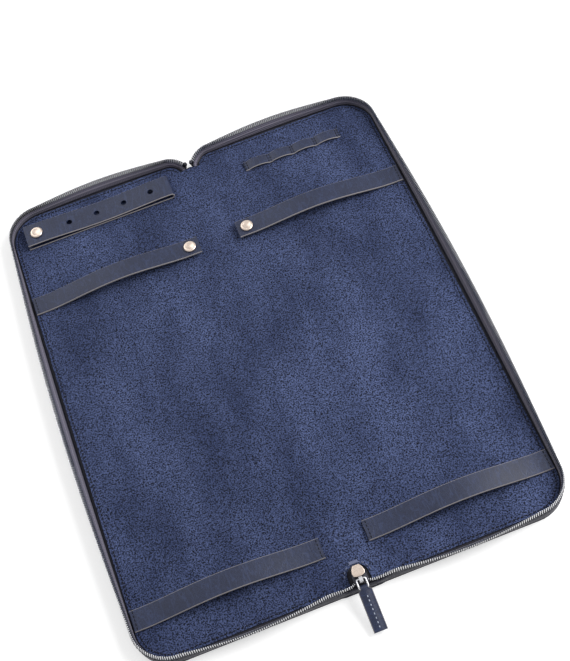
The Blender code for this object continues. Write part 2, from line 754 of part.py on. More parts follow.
link_corner_radius = link_radius * 1.5
link_points = []
link_corners = ((link_half_width, 0, 270), (link_half_width, link_length, 0),
                (-link_half_width, link_length, 90), (-link_half_width, 0, 180))
for corner_x, corner_along, first in link_corners:
    centre_x = corner_x - math.copysign(link_corner_radius, corner_x)
    centre_along = corner_along + math.copysign(link_corner_radius, link_length / 2 - corner_along)
    for step in range(corner_steps + 1):
        angle = math.radians(first + 90 * step / corner_steps)
        link_points.append(hang(centre_x + link_corner_radius * math.cos(angle),
                                centre_along + link_corner_radius * math.sin(angle), 0))
link_curve = bpy.data.curves.new("puller_link", "CURVE")
link_curve.dimensions = "3D"
link_curve.bevel_depth = link_radius
link_curve.bevel_resolution = 2
link_spline = link_curve.splines.new("POLY")
link_spline.points.add(len(link_points) - 1)
link_spline.use_cyclic_u = True
for point, place in zip(link_spline.points, link_points):
    point.co = (*place, 1)
puller_link = bpy.data.objects.new("puller_link", link_curve)
case_group.objects.link(puller_link)
settle(puller_link, nickel, puller_pivot)

tab_path = [hang(0, tab_end, -tab_spacing), hang(0, tab_neck_end, -tab_spacing),
            hang(0, link_length + wrap_radius, -(wrap_radius + tab_spacing) / 2)]
tab_widths = [tab_half_width, tab_half_width, tab_neck_half_width]
for step in range(arc_steps + 1):
    angle = math.pi * step / arc_steps
    tab_path.append(hang(0, link_length - wrap_radius * math.sin(angle), -wrap_radius * math.cos(angle)))
    tab_widths.append(tab_neck_half_width)
tab_path += [hang(0, link_length + wrap_radius, (wrap_radius + tab_spacing) / 2),
             hang(0, tab_neck_end, tab_spacing), hang(0, tab_end, tab_spacing)]
tab_widths += [tab_neck_half_width, tab_half_width, tab_half_width]
ribbon("puller_tab", tab_path, tab_widths, (1, 0, 0), tab_thickness, 0, strap_leather, puller_pivot)
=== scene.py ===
import json
import math

import bpy
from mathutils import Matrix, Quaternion, Vector, noise


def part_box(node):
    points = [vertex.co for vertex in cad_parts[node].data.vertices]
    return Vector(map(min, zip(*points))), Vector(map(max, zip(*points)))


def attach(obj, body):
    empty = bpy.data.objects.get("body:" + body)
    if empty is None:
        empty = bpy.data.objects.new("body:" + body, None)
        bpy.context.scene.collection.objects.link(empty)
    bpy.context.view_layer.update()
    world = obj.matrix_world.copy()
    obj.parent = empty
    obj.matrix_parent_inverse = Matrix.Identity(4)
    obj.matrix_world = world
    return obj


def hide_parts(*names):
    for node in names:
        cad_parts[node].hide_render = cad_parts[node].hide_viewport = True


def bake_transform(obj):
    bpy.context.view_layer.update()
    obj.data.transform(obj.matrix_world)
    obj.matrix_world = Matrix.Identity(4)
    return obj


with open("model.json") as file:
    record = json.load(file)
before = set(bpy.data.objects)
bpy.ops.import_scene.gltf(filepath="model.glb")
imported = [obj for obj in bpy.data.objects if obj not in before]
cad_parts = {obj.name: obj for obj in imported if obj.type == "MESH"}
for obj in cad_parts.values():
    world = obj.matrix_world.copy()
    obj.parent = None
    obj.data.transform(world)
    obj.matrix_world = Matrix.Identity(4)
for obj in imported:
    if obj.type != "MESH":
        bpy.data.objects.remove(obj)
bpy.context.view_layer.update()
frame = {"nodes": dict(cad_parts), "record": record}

# Studio: the case lies open on a pale table, seen from in front and above with the camera rolled a little.
# A broad lamp on the right and a weaker one behind on the left leave a soft shadow to the left of the case.
# The table is white card in a white room; the camera sees them a little brighter than they are lit.
camera_place = Vector((-0.0508, -0.4658, 0.8165))
camera_aim = Vector((0.0193, 0.0133, 0))
camera_roll = math.radians(-13.53)
focal_length_pixels = 1300
photo_height_pixels = 661
sensor_size = 36
lamps = {"right_softbox": ((1.15, -0.05, 1.15), 1.0, 27), "rear_softbox": ((-0.7, 1.3, 1.2), 1.4, 9)}
room_light = 0.42
table_size = 8
table_drop = 0.0004
card_fibres_per_metre = 300
card_glow = 0.5


def add_object(name, operator, **options):
    """Add an object by one of Blender's operators, with nothing else selected, and name it."""
    bpy.ops.object.select_all(action="DESELECT")
    operator(**options)
    added = bpy.context.object
    added.name = name
    return added


def feed(material, node, links):
    """Link sockets of a node to the (node, output) pairs that feed them."""
    for socket, (source, output) in links.items():
        material.node_tree.links.new(source.outputs[output], node.inputs[socket])


def add_node(material, kind, settings={}, values={}, links={}):
    """Add a node with its settings, its sockets' values and the (node, output) pairs that feed them."""
    node = material.node_tree.nodes.new(kind)
    for name, value in settings.items():
        setattr(node, name, value)
    for socket, value in values.items():
        node.inputs[socket].default_value = value
    feed(material, node, links)
    return node


def new_material(name, values):
    """A new material and its shader, with the shader's own values."""
    material = bpy.data.materials.new(name)
    material.use_nodes = True
    shader = material.node_tree.nodes["Principled BSDF"]
    for socket, value in values.items():
        shader.inputs[socket].default_value = value
    return material, shader


def colour(code):
    """Linear red, green, blue and alpha of an sRGB hex colour."""
    shades = [int(code[start:start + 2], 16) / 255 for start in (1, 3, 5)]
    return (*(s / 12.92 if s <= 0.04045 else ((s + 0.055) / 1.055) ** 2.4 for s in shades), 1.0)


camera = add_object("camera", bpy.ops.object.camera_add, location=camera_place)
aim = (camera_aim - camera_place).to_track_quat("-Z", "Y")
camera.rotation_euler = (aim @ Quaternion((0, 0, 1), camera_roll)).to_euler()
camera.data.sensor_width = sensor_size
camera.data.lens = focal_length_pixels / photo_height_pixels * sensor_size
bpy.context.scene.camera = camera
bpy.context.scene.view_settings.view_transform = "Standard"

for name, (place, size, power) in lamps.items():
    lamp = add_object(name, bpy.ops.object.light_add, type="AREA", location=place)
    lamp.data.size = size
    lamp.data.energy = power
    lamp.rotation_euler = (-Vector(place)).to_track_quat("-Z", "Y").to_euler()

room = bpy.data.worlds.new("white_room")
room.use_nodes = True
bpy.context.scene.world = room
room_rays = add_node(room, "ShaderNodeLightPath")
room_seen = add_node(room, "ShaderNodeMath", {"operation": "MAXIMUM"}, links={
    0: (room_rays, "Is Camera Ray"), 1: (room_rays, "Is Glossy Ray")})
room_strength = add_node(room, "ShaderNodeMapRange", values={"To Min": room_light, "To Max": 1}, links={
    "Value": (room_seen, 0)})
room_shader = room.node_tree.nodes["Background"]
room_shader.inputs["Color"].default_value = (1, 1, 1, 1)
feed(room, room_shader, {"Strength": (room_strength, "Result")})

# White matt card: a faint fibre tone, and a glow that only the camera and reflections see
card, card_shader = new_material("white_matt_card", {"Roughness": 0.9})
card_place = add_node(card, "ShaderNodeTexCoord")
card_fibre = add_node(card, "ShaderNodeTexNoise", values={
    "Scale": card_fibres_per_metre, "Detail": 2}, links={"Vector": (card_place, "Object")})
card_tone = add_node(card, "ShaderNodeMix", {"data_type": "RGBA"}, {
    6: colour("#dedede"), 7: colour("#e0e0e0")}, {"Factor": (card_fibre, "Fac")})
feed(card, card_shader, {"Base Color": (card_tone, 2)})
card_rays = add_node(card, "ShaderNodeLightPath")
card_seen = add_node(card, "ShaderNodeMath", {"operation": "MAXIMUM"}, links={
    0: (card_rays, "Is Camera Ray"), 1: (card_rays, "Is Glossy Ray")})
card_strength = add_node(card, "ShaderNodeMath", {"operation": "MULTIPLY"}, {1: card_glow}, {
    0: (card_seen, 0)})
card_light = add_node(card, "ShaderNodeEmission", links={"Strength": (card_strength, 0)})
card_sum = add_node(card, "ShaderNodeAddShader", links={
    0: (card_shader, "BSDF"), 1: (card_light, "Emission")})
feed(card, card.node_tree.nodes["Material Output"], {"Surface": (card_sum, 0)})

table = add_object("table", bpy.ops.mesh.primitive_plane_add, size=table_size, location=(0, 0, -table_drop))
table.data.materials.append(card)

# Outer cover: one skin of pebbled leather that runs under the left tray, the spine and the right tray.
# It is cowhide, drum-grained and dyed dark navy, glued to a board in each tray and free at the two folds,
# where it bends as the case closes. Each half from the middle of the spine outwards is one piece here.
tray_reach, tray_end, cover_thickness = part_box("right_cover")[1]
spine_near_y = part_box("spine_cover")[0].y
hinges = {joint["name"]: Vector(joint["pos_m"]) for joint in frame["record"]["behaviour"]["joints"]
          if "pos_m" in joint}
fold_x = hinges["right_leaf_fold"].x
corner_radius = 0.027
notch_radius = 0.0135
notch_angle = 168
notch_valley_y = 0.1845
tray_soft_edge = 0.0152
near_wall_end = 0.0255
edge_point_spacing = 0.003
cover_edge_radius = 0.0004
cover_fold_half = 0.0026
fold_columns = 7
smooth_angle = math.radians(40)
LEFT, RIGHT = -1, 1
sides = {LEFT: "left", RIGHT: "right"}

notch_x = 0.0183
notch_y = tray_end - notch_radius
corner_x = tray_reach - corner_radius
corner_y = tray_end - corner_radius

# The stretches of the right-hand tray's edge from the notch to the spine: an arc has a centre, a radius and
# two angles; a straight run has two ends, its outward direction and the wall's lean at its middle
side_lean = 0.006
end_lean = 0.005
corner_lean = 0.0004
notch_arc = ("arc", (notch_x, notch_y), notch_radius, notch_angle, 90)
tray_stretches = [
    notch_arc,
    ("run", (notch_x, tray_end), (corner_x, tray_end), (0, 1), end_lean),
    ("arc", (corner_x, corner_y), corner_radius, 90, 0),
    ("run", (tray_reach, corner_y), (tray_reach, -corner_y), (1, 0), side_lean),
    ("arc", (corner_x, -corner_y), corner_radius, 0, -90),
    ("run", (corner_x, -tray_end), (near_wall_end, -tray_end), (0, -1), end_lean),
]


def stretch_length(stretch):
    """Length of an arc or of a straight run."""
    if stretch[0] == "arc":
        return stretch[2] * math.radians(abs(stretch[4] - stretch[3]))
    return math.dist(stretch[1], stretch[2])


def edge_at(stretches, distance):
    """Point, outward direction and lean of the tray's edge, a distance along its stretches from the notch."""
    for stretch in stretches:
        length = stretch_length(stretch)
        if distance <= length or stretch is stretches[-1]:
            break
        distance -= length
    share = distance / length
    if stretch[0] == "arc":
        _, centre, radius, start, end = stretch
        turn = math.radians(start + (end - start) * share)
        out = (math.cos(turn), math.sin(turn))
        return (centre[0] + radius * out[0], centre[1] + radius * out[1]), out, corner_lean
    _, start, end, out, lean = stretch
    point = (start[0] + (end[0] - start[0]) * share, start[1] + (end[1] - start[1]) * share)
    bulge = math.sin(math.pi * min(max(share, 0), 1))
    return point, out, corner_lean + (lean - corner_lean) * bulge


wall_length = sum(stretch_length(stretch) for stretch in tray_stretches)


def tray_outline(inset, far_points, near_points):
    """Outline of a sheet in the right-hand tray, from the spine round the tray and back to the spine."""
    count = round(wall_length / edge_point_spacing)
    outline = list(far_points)
    for step in range(count + 1):
        (x, y), (out_x, out_y), _ = edge_at(tray_stretches, wall_length * step / count)
        outline.append((x - out_x * inset, y - out_y * inset))
    return outline + list(near_points)


def sheet(name, side, outline, base, top):
    """A flat sheet from its outline on the right-hand side: a filled circle pulled to shape and extruded."""
    piece = add_object(name, bpy.ops.mesh.primitive_circle_add, vertices=len(outline), fill_type="NGON")
    for corner, (x, y) in zip(piece.data.vertices, outline):
        corner.co = (side * x, y, base)
    bpy.ops.object.mode_set(mode="EDIT")
    bpy.ops.mesh.select_all(action="SELECT")
    bpy.ops.mesh.extrude_region_move(TRANSFORM_OT_translate={"value": (0, 0, top - base)})
    bpy.ops.mesh.select_all(action="SELECT")
    bpy.ops.mesh.normals_make_consistent(inside=False)
    bpy.ops.object.mode_set(mode="OBJECT")
    return piece


def cut_across(piece, direction, places):
    """Add a line of edges across a piece at each place along a direction."""
    bpy.ops.object.mode_set(mode="EDIT")
    for place in places:
        bpy.ops.mesh.select_all(action="SELECT")
        bpy.ops.mesh.bisect(plane_co=Vector(direction) * place, plane_no=direction)
    bpy.ops.object.mode_set(mode="OBJECT")


def round_edges(piece, width, segments):
    """Round the edges that turn sharply."""
    rounding = piece.modifiers.new("rounding", "BEVEL")
    rounding.width = width
    rounding.segments = segments
    rounding.limit_method = "ANGLE"
    bpy.ops.object.modifier_apply(modifier=rounding.name)


def dress(piece, material):
    """Shade a finished piece, and give it its finish."""
    bpy.ops.object.shade_smooth_by_angle(angle=smooth_angle)
    piece.data.materials.append(material)


leather_specular = 0.3
leather_coat_roughness = 0.3
grain_bends_per_cell = 0.6
grain_bend_share = 0.7
grain_valley_share = 0.32
pores_per_cell = 2.5
pore_height_share = 0.25
dye_clouds_per_metre = 60
duller_pores, glossier_pores = 0.1, 0.08
crease_angle = math.radians(-35)
crease_stretch = 0.3
crease_pitch = 0.005
crease_width_share = 0.035
crease_wear = 0.6


def grained_leather(name, dark, light, grain, depth, relief_share, roughness, coat, crease_share, placed_by):
    """Dyed leather: rounded grain cells with dark valleys, a cloudy dye and slanting, paler creases."""
    leather, shader = new_material(name, {
        "Specular IOR Level": leather_specular, "Coat Weight": coat,
        "Coat Roughness": leather_coat_roughness})
    if placed_by == "Object":
        place, output = add_node(leather, "ShaderNodeTexCoord"), "Object"
    else:
        place, output = add_node(leather, "ShaderNodeAttribute", {"attribute_name": placed_by}), "Vector"
    warp = add_node(leather, "ShaderNodeTexNoise", values={
        "Scale": grain_bends_per_cell / grain, "Detail": 2}, links={"Vector": (place, output)})
    bent = add_node(leather, "ShaderNodeVectorMath", {"operation": "MULTIPLY_ADD"}, {
        1: [grain * grain_bend_share] * 3}, {0: (warp, "Color"), 2: (place, output)})
    cells = add_node(leather, "ShaderNodeTexVoronoi", {"feature": "DISTANCE_TO_EDGE"}, {
        "Scale": 1 / grain}, {"Vector": (bent, 0)})
    pebble = add_node(leather, "ShaderNodeMapRange", {"interpolation_type": "SMOOTHSTEP"}, {
        "From Max": grain_valley_share}, {"Value": (cells, "Distance")})
    dye = add_node(leather, "ShaderNodeTexNoise", values={"Scale": dye_clouds_per_metre, "Detail": 4}, links={
        "Vector": (place, output)})
    pores = add_node(leather, "ShaderNodeTexNoise", values={
        "Scale": pores_per_cell / grain, "Detail": 2}, links={"Vector": (place, output)})
    shade = add_node(leather, "ShaderNodeMath", {"operation": "MULTIPLY"}, links={
        0: (pebble, "Result"), 1: (dye, "Fac")})
    lift = add_node(leather, "ShaderNodeMapRange", values={"From Min": 0.05, "From Max": 0.65}, links={
        "Value": (shade, 0)})
    tone = add_node(leather, "ShaderNodeMix", {"data_type": "RGBA"}, {6: colour(dark), 7: colour(light)}, {
        "Factor": (lift, "Result")})
    gloss = add_node(leather, "ShaderNodeMapRange", values={
        "From Min": 0.3, "From Max": 0.7, "To Min": roughness - glossier_pores,
        "To Max": roughness + duller_pores}, links={"Value": (pores, "Fac")})
    heights = add_node(leather, "ShaderNodeMath", {"operation": "MULTIPLY_ADD"}, {1: pore_height_share}, {
        0: (pores, "Fac"), 2: (pebble, "Result")})
    slant = add_node(leather, "ShaderNodeMapping", values={
        "Rotation": (0, 0, crease_angle), "Scale": (1, crease_stretch, 1)}, links={"Vector": (place, output)})
    wander = add_node(leather, "ShaderNodeTexNoise", values={"Scale": 1 / crease_pitch, "Detail": 3}, links={
        "Vector": (slant, "Vector")})
    offset = add_node(leather, "ShaderNodeMath", {"operation": "SUBTRACT"}, {1: 0.5}, {0: (wander, "Fac")})
    nearness = add_node(leather, "ShaderNodeMath", {"operation": "ABSOLUTE"}, links={0: (offset, 0)})
    crease = add_node(leather, "ShaderNodeMapRange", {"interpolation_type": "SMOOTHSTEP"}, {
        "From Max": crease_width_share, "To Min": crease_share, "To Max": 0}, {"Value": (nearness, 0)})
    creased = add_node(leather, "ShaderNodeMath", {"operation": "SUBTRACT"}, links={
        0: (heights, 0), 1: (crease, "Result")})
    worn = add_node(leather, "ShaderNodeMath", {"operation": "MULTIPLY"}, {1: crease_wear}, {
        0: (crease, "Result")})
    worn_tone = add_node(leather, "ShaderNodeMix", {"data_type": "RGBA"}, {7: colour(light)}, {
        "Factor": (worn, 0), 6: (tone, 2)})
    relief = add_node(leather, "ShaderNodeBump", values={"Strength": relief_share, "Distance": depth}, links={
        "Height": (creased, 0)})
    feed(leather, shader, {
        "Base Color": (worn_tone, 2), "Roughness": (gloss, "Result"), "Normal": (relief, "Normal")})
    return leather


# Drum-grained cowhide: pebbles of about 1.4 mm with soft valleys and hardly a crease, half matt
pebbled_cowhide = grained_leather("pebbled_navy_cowhide", "#161722", "#353546", grain=0.0014, depth=0.00012,
                                  relief_share=0.7, roughness=0.5, coat=0.07, crease_share=0.3,
                                  placed_by="Object")
fold_shares = [step / (fold_columns - 1) for step in range(fold_columns)]
for side, word in sides.items():
    outline = tray_outline(0, [(0, notch_valley_y)],
                           [(tray_soft_edge, -tray_end), (fold_x, spine_near_y), (0, spine_near_y)])
    cover = sheet(word + "_outer_cover", side, outline, 0, cover_thickness)
    round_edges(cover, cover_edge_radius, 2)
    cut_across(cover, (1, 0, 0), [side * (fold_x + cover_fold_half * (2 * s - 1)) for s in fold_shares])
    dress(cover, pebbled_cowhide)
    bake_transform(cover)
    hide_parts(word + "_cover", "spine_cover")

# Boards and wadding: a stiff board under each tray and the spine, with wadding over it, all sealed inside.
# The board is grey-brown millboard pressed from pulp; the wadding is needled polyester, coloured charcoal
# as painted shade where it shows.
# They are glued between cover and lining, so only the spine's wadding shows, in the arch by the zip slider.
def mottled(name, dark, light, blotch, roughness, relief_depth):
    """A fibrous material: blotches of two tones and a matching relief."""
    fibres, shader = new_material(name, {"Roughness": roughness})
    place = add_node(fibres, "ShaderNodeTexCoord")
    blotches = add_node(fibres, "ShaderNodeTexNoise", values={"Scale": 1 / blotch, "Detail": 5}, links={
        "Vector": (place, "Object")})
    tone = add_node(fibres, "ShaderNodeMix", {"data_type": "RGBA"}, {6: colour(dark), 7: colour(light)}, {
        "Factor": (blotches, "Fac")})
    relief = add_node(fibres, "ShaderNodeBump", values={"Strength": 0.6, "Distance": relief_depth}, links={
        "Height": (blotches, "Fac")})
    feed(fibres, shader, {"Base Color": (tone, 2), "Normal": (relief, "Normal")})
    return fibres


millboard = mottled("pressed_millboard", "#6f6352", "#9a8b74", blotch=0.002, roughness=0.85,
                    relief_depth=0.0001)
# Charcoal wadding: painted shade in the arch by the zip slider
wadding = mottled("needled_charcoal_wadding", "#17171d", "#2f2f38", blotch=0.0015, roughness=0.95,
                  relief_depth=0.0003)
wadding_rounding = 0.0004
wadding_cell = 0.009
wadding_loft = 0.0003
pads = {}
pad_low, pad_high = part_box("right_padding")
for side, word in sides.items():
    outline = tray_outline(tray_reach - pad_high.x, [], [(pad_low.x, pad_low.y)])
    pads[word] = sheet(word + "_wadding", side, [(max(x, pad_low.x), y) for x, y in outline],
                       pad_low.z, pad_high.z)
    frame["nodes"][word + "_board"].material_slots[0].material = millboard
pad_low, pad_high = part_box("spine_padding")
pads["spine"] = sheet("spine_wadding", RIGHT, [
    (pad_high.x, pad_low.y), (pad_high.x, pad_high.y), (pad_low.x, pad_high.y), (pad_low.x, pad_low.y)],
    pad_low.z, pad_high.z)
frame["nodes"]["spine_board"].material_slots[0].material = millboard
for word, pad in pads.items():
    bpy.ops.object.select_all(action="DESELECT")
    pad.select_set(True)
    bpy.context.view_layer.objects.active = pad
    round_edges(pad, wadding_rounding, 2)
    pad_low, pad_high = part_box(word + "_padding")
    for direction, low, high in (((1, 0, 0), pad_low.x, pad_high.x), ((0, 1, 0), pad_low.y, pad_high.y)):
        cuts = math.ceil((high - low) / wadding_cell)
        cut_across(pad, direction, [low + (high - low) * cut / cuts for cut in range(1, cuts)])
    for corner in pad.data.vertices:
        if corner.co.z > (pad_low.z + pad_high.z) / 2:
            corner.co.z -= wadding_loft * (0.5 + 0.5 * noise.noise(corner.co / wadding_cell))
    dress(pad, wadding)
    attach(pad, "spine" if word == "spine" else word + "_leaf")
    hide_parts(word + "_padding")

# Lining: microfibre suede, dyed navy, over the wadding of both trays and the spine.
# It is cut to each tray's shape and sewn down all round a few millimetres from its edge, and over the spine
# it is loose enough to fold. An arch is cut out of it round the zip slider.
lining_low, lining_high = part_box("right_lining")
spine_lining_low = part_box("spine_lining")[0]
lining_base, lining_top = lining_low.z, lining_high.z
lining_inset = 0.0030
spine_crease = 0.0094
arch_radius = 0.0075
arch_centre_y = -0.1815
arch_points = 9
seam_from_wall = 0.0051
seam_dip = 0.00022
seam_dip_width = 0.0012
cell_size = 0.0045
tuft_size = 0.001
fibres_per_tuft = 1.875
brush_patch = 0.045
brush_stretch = 0.5
waviness = 0.0003
wave_size = 0.022
ripple_share, ripples_per_wave = 0.5, 2.3


def edge_distance(x, y):
    """How far a point of the right-hand half lies inside the tray's edge, as if the spine side were open."""
    if x > corner_x and abs(y) > corner_y:
        return corner_radius - math.dist((x, abs(y)), (corner_x, corner_y))
    if x < notch_x and y > notch_y:
        return notch_radius - math.dist((x, y), (notch_x, notch_y))
    return min(tray_reach - x, tray_end - abs(y))


# Microfibre suede: a short matt nap of dark roots and lighter tips, brushed in long patches that show paler.
# Its fibres are too fine to show, so its tufts are drawn 1 mm wide.
suede, suede_shader = new_material("navy_microfibre_suede", {
    "Roughness": 0.95, "Specular IOR Level": 0.2, "Sheen Weight": 0.15, "Sheen Roughness": 0.45,
    "Sheen Tint": colour("#a9b0cc")})
suede_place = add_node(suede, "ShaderNodeTexCoord")
nap = add_node(suede, "ShaderNodeTexNoise", values={
    "Scale": fibres_per_tuft / tuft_size, "Detail": 3, "Roughness": 0.7}, links={
    "Vector": (suede_place, "Object")})
tufts = add_node(suede, "ShaderNodeTexNoise", values={
    "Scale": 1 / tuft_size, "Detail": 3, "Distortion": 0.3}, links={"Vector": (suede_place, "Object")})
brush_strokes = add_node(suede, "ShaderNodeMapping", values={"Scale": (1, brush_stretch, 1)}, links={
    "Vector": (suede_place, "Object")})
brushed = add_node(suede, "ShaderNodeTexNoise", values={
    "Scale": 1 / brush_patch, "Detail": 6, "Roughness": 0.65}, links={"Vector": (brush_strokes, "Vector")})
brush_share = add_node(suede, "ShaderNodeMapRange", values={"From Min": 0.36, "From Max": 0.66}, links={
    "Value": (brushed, "Fac")})
brushed_tone = add_node(suede, "ShaderNodeMix", {"data_type": "RGBA"}, {
    6: colour("#3b466a"), 7: colour("#58658f")}, {"Factor": (brush_share, "Result")})
nap_mix = add_node(suede, "ShaderNodeMath", {"operation": "MULTIPLY_ADD"}, {1: 2}, {
    0: (tufts, "Fac"), 2: (nap, "Fac")})
nap_share = add_node(suede, "ShaderNodeMapRange", values={"From Min": 1.26, "From Max": 1.72}, links={
    "Value": (nap_mix, 0)})
suede_tone = add_node(suede, "ShaderNodeMix", {"data_type": "RGBA"}, {6: colour("#04060e")}, {
    "Factor": (nap_share, "Result"), 7: (brushed_tone, 2)})
suede_relief = add_node(suede, "ShaderNodeBump", values={"Strength": 0.8, "Distance": 0.0003}, links={
    "Height": (nap_mix, 0)})
feed(suede, suede_shader, {"Base Color": (suede_tone, 2), "Normal": (suede_relief, "Normal")})

arch = []
for step in range(arch_points):
    turn = math.radians(90 * step / (arch_points - 1))
    arch.append((arch_radius * math.cos(turn), arch_centre_y + arch_radius * math.sin(turn)))
for side, word in sides.items():
    outline = tray_outline(lining_inset, [(0, notch_valley_y - lining_inset)],
                           [(tray_soft_edge, lining_low.y), (spine_crease, spine_lining_low.y),
                            (arch_radius, spine_lining_low.y)] + arch)
    lining = sheet(word + "_suede_lining", side, outline, lining_base, lining_top)
    rows = math.ceil(2 * tray_end / cell_size)
    columns = math.ceil(tray_reach / cell_size)
    cut_across(lining, (0, 1, 0), [tray_end * (2 * row / rows - 1) for row in range(rows)])
    cut_across(lining, (1, 0, 0), [side * tray_reach * column / columns for column in range(1, columns)])
    cut_across(lining, (1, 0, 0), [side * (spine_crease + (tray_soft_edge - spine_crease) * s)
                                   for s in fold_shares])
    for corner in lining.data.vertices:
        if corner.co.z < (lining_base + lining_top) / 2:
            continue
        x, y, _ = corner.co
        wave = noise.noise(Vector((x, y, 0)) / wave_size)
        wave += ripple_share * noise.noise(Vector((x, y, 1)) / wave_size * ripples_per_wave)
        corner.co.z -= waviness * (0.5 + 0.5 * max(-1, min(1, wave)))
        seam = abs(edge_distance(abs(x), y) - seam_from_wall) / seam_dip_width
        corner.co.z -= seam_dip * max(0, 1 - seam)
    dress(lining, suede)
    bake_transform(lining)
    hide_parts(word + "_lining", "spine_lining")

# Seam of the lining: navy polyester thread all round each tray, sewn through suede, wadding and flange;
# it is coloured near-black, partly navy thread and partly painted shade of the stitches sunk into the nap.
# Every stitch is a short round-ended length of thread pulled a little into the nap; the pitch is about 3 mm.
# Round the arch at the slider the thread is slate-coloured.
stitch_length = 0.0022
stitch_half_width = 0.00052
stitch_flatness = 0.8
stitch_pitch = 0.0029
arch_seam_gap = 0.0014
thread_strand_scale = 900
merge_distance = 0.00001


# Bonded polyester thread: nearly matt, with twisted strands drawn 0.35 mm apart, so that they show as fine
# slanting bands
def sewing_thread(name, dark, light):
    """Twisted thread: fine slanting strands of two tones."""
    thread, shader = new_material(name, {"Roughness": 0.7, "Specular IOR Level": 0.25})
    place = add_node(thread, "ShaderNodeTexCoord")
    twist = add_node(thread, "ShaderNodeTexWave", {"bands_direction": "DIAGONAL"}, {
        "Scale": thread_strand_scale, "Distortion": 1}, {"Vector": (place, "Object")})
    tone = add_node(thread, "ShaderNodeMix", {"data_type": "RGBA"}, {6: colour(dark), 7: colour(light)}, {
        "Factor": (twist, "Fac")})
    relief = add_node(thread, "ShaderNodeBump", values={"Strength": 0.5, "Distance": 0.0001}, links={
        "Height": (twist, "Fac")})
    feed(thread, shader, {"Base Color": (tone, 2), "Normal": (relief, "Normal")})
    return thread


# Navy thread darkened to near-black: partly painted shade where the stitches sink into suede and leather
navy_thread_with_shade = sewing_thread("navy_polyester_thread", "#03040a", "#0b0d18")
slate_thread = sewing_thread("slate_polyester_thread", "#4a5270", "#79809a")
pale_thread = sewing_thread("pale_grey_polyester_thread", "#8790a6", "#c3c9d6")


def repeat_along(piece, pitch, count, merged):
    """Repeat a piece along X, and merge the copies where they meet if they are to be one shell."""
    repeat = piece.modifiers.new("repeat", "ARRAY")
    repeat.use_relative_offset = False
    repeat.use_constant_offset = True
    repeat.constant_offset_displace = (pitch, 0, 0)
    repeat.count = count
    repeat.use_merge_vertices = merged
    repeat.merge_threshold = merge_distance
    bpy.ops.object.modifier_apply(modifier=repeat.name)


def stitch_row(name, start, count, pitch, across, height):
    """A row of stitches along X at one height, the first one centred a distance along."""
    piece = add_object(name, bpy.ops.mesh.primitive_uv_sphere_add, segments=6, ring_count=5, radius=1)
    bpy.ops.object.mode_set(mode="EDIT")
    bpy.ops.mesh.select_all(action="SELECT")
    bpy.ops.transform.rotate(value=math.pi / 2, orient_axis="Y", center_override=(0, 0, 0))
    bpy.ops.transform.resize(value=(
        stitch_length / 2, stitch_half_width, stitch_half_width * stitch_flatness))
    bpy.ops.transform.translate(value=(start, across, height))
    bpy.ops.object.mode_set(mode="OBJECT")
    repeat_along(piece, pitch, count, False)
    return piece


def bend(piece, place):
    """Take a piece modelled flat along X to its place, and keep its flat coordinates for its finish."""
    flat = piece.data.attributes.new("flat", "FLOAT_VECTOR", "POINT")
    for corner, kept in zip(piece.data.vertices, flat.data):
        kept.vector = corner.co
    for corner in piece.data.vertices:
        corner.co = place(*corner.co)
    bpy.ops.object.mode_set(mode="EDIT")
    bpy.ops.mesh.select_all(action="SELECT")
    bpy.ops.mesh.normals_make_consistent(inside=False)
    bpy.ops.object.mode_set(mode="OBJECT")


def in_tray(side):
    """A placer for what lies flat in a tray beside its edge: distance from the notch, inset and height."""
    def place(distance, inset, height):
        (x, y), (out_x, out_y), _ = edge_at(tray_stretches, distance)
        return (side * (x - out_x * inset), y - out_y * inset, height)
    return place


for side, word in sides.items():
    count = math.floor((wall_length - 2 * stitch_pitch) / stitch_pitch)
    seam = stitch_row(word + "_lining_seam", 2 * stitch_pitch, count, stitch_pitch, seam_from_wall,
                      lining_top - seam_dip)
    bend(seam, in_tray(side))
    dress(seam, navy_thread_with_shade)
    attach(seam, word + "_leaf")

arch_seam_radius = arch_radius + arch_seam_gap
arch_seam_length = math.pi * arch_seam_radius
arch_seam_count = math.floor(arch_seam_length / stitch_pitch)
arch_seam = stitch_row("arch_seam", arch_seam_length / arch_seam_count / 2, arch_seam_count,
                       arch_seam_length / arch_seam_count, 0, lining_top)
bend(arch_seam, lambda distance, outwards, height: (
    (arch_seam_radius + outwards) * math.cos(distance / arch_seam_radius),
    arch_centre_y + (arch_seam_radius + outwards) * math.sin(distance / arch_seam_radius), height))
dress(arch_seam, slate_thread)
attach(arch_seam, "spine")

# Walls: a strip of the same pebbled leather stands round three sides of each tray, with its foot turned in
# under the lining and its top edge turned over and sewn. It leans out along the straight sides, stays upright
# at the corners, flops towards the spine at the notch, and comes down to the slider at the near end.
chain_low, chain_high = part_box("right_zip_chain")
board_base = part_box("right_board")[0].z
rim_height = chain_high.z
chain_base = chain_low.z
wall_foot = board_base
wall_top = 0.0112
wall_thickness = 0.001
flange_width = 0.007
turned_edge = 0.0018
notch_lean = 0.0024
notch_flop = 0.0021
notch_drop = 0.0045
near_end_x = 0.0094
near_end_sink = 0.00495
near_chain_y = -0.1897
wall_step = 0.0022
short_flange = 0.0030
foot_radius = 0.0008
hem_step = 0.0004
hem_crease = 0.00025
notch_join_angle = 104
notch_join = notch_radius * math.radians(notch_angle - notch_join_angle)
near_run = ("run", (near_wall_end, -tray_end), (near_end_x, -tray_end), (0, -1), corner_lean)
near_chain_run = ("run", (near_wall_end, -tray_end), (near_end_x, near_chain_y), (0, -1), corner_lean)
near_run_length = stretch_length(near_run)


def smooth_step(share):
    """A share from 0 to 1 that starts and ends level."""
    share = min(max(share, 0), 1)
    return share * share * (3 - 2 * share)


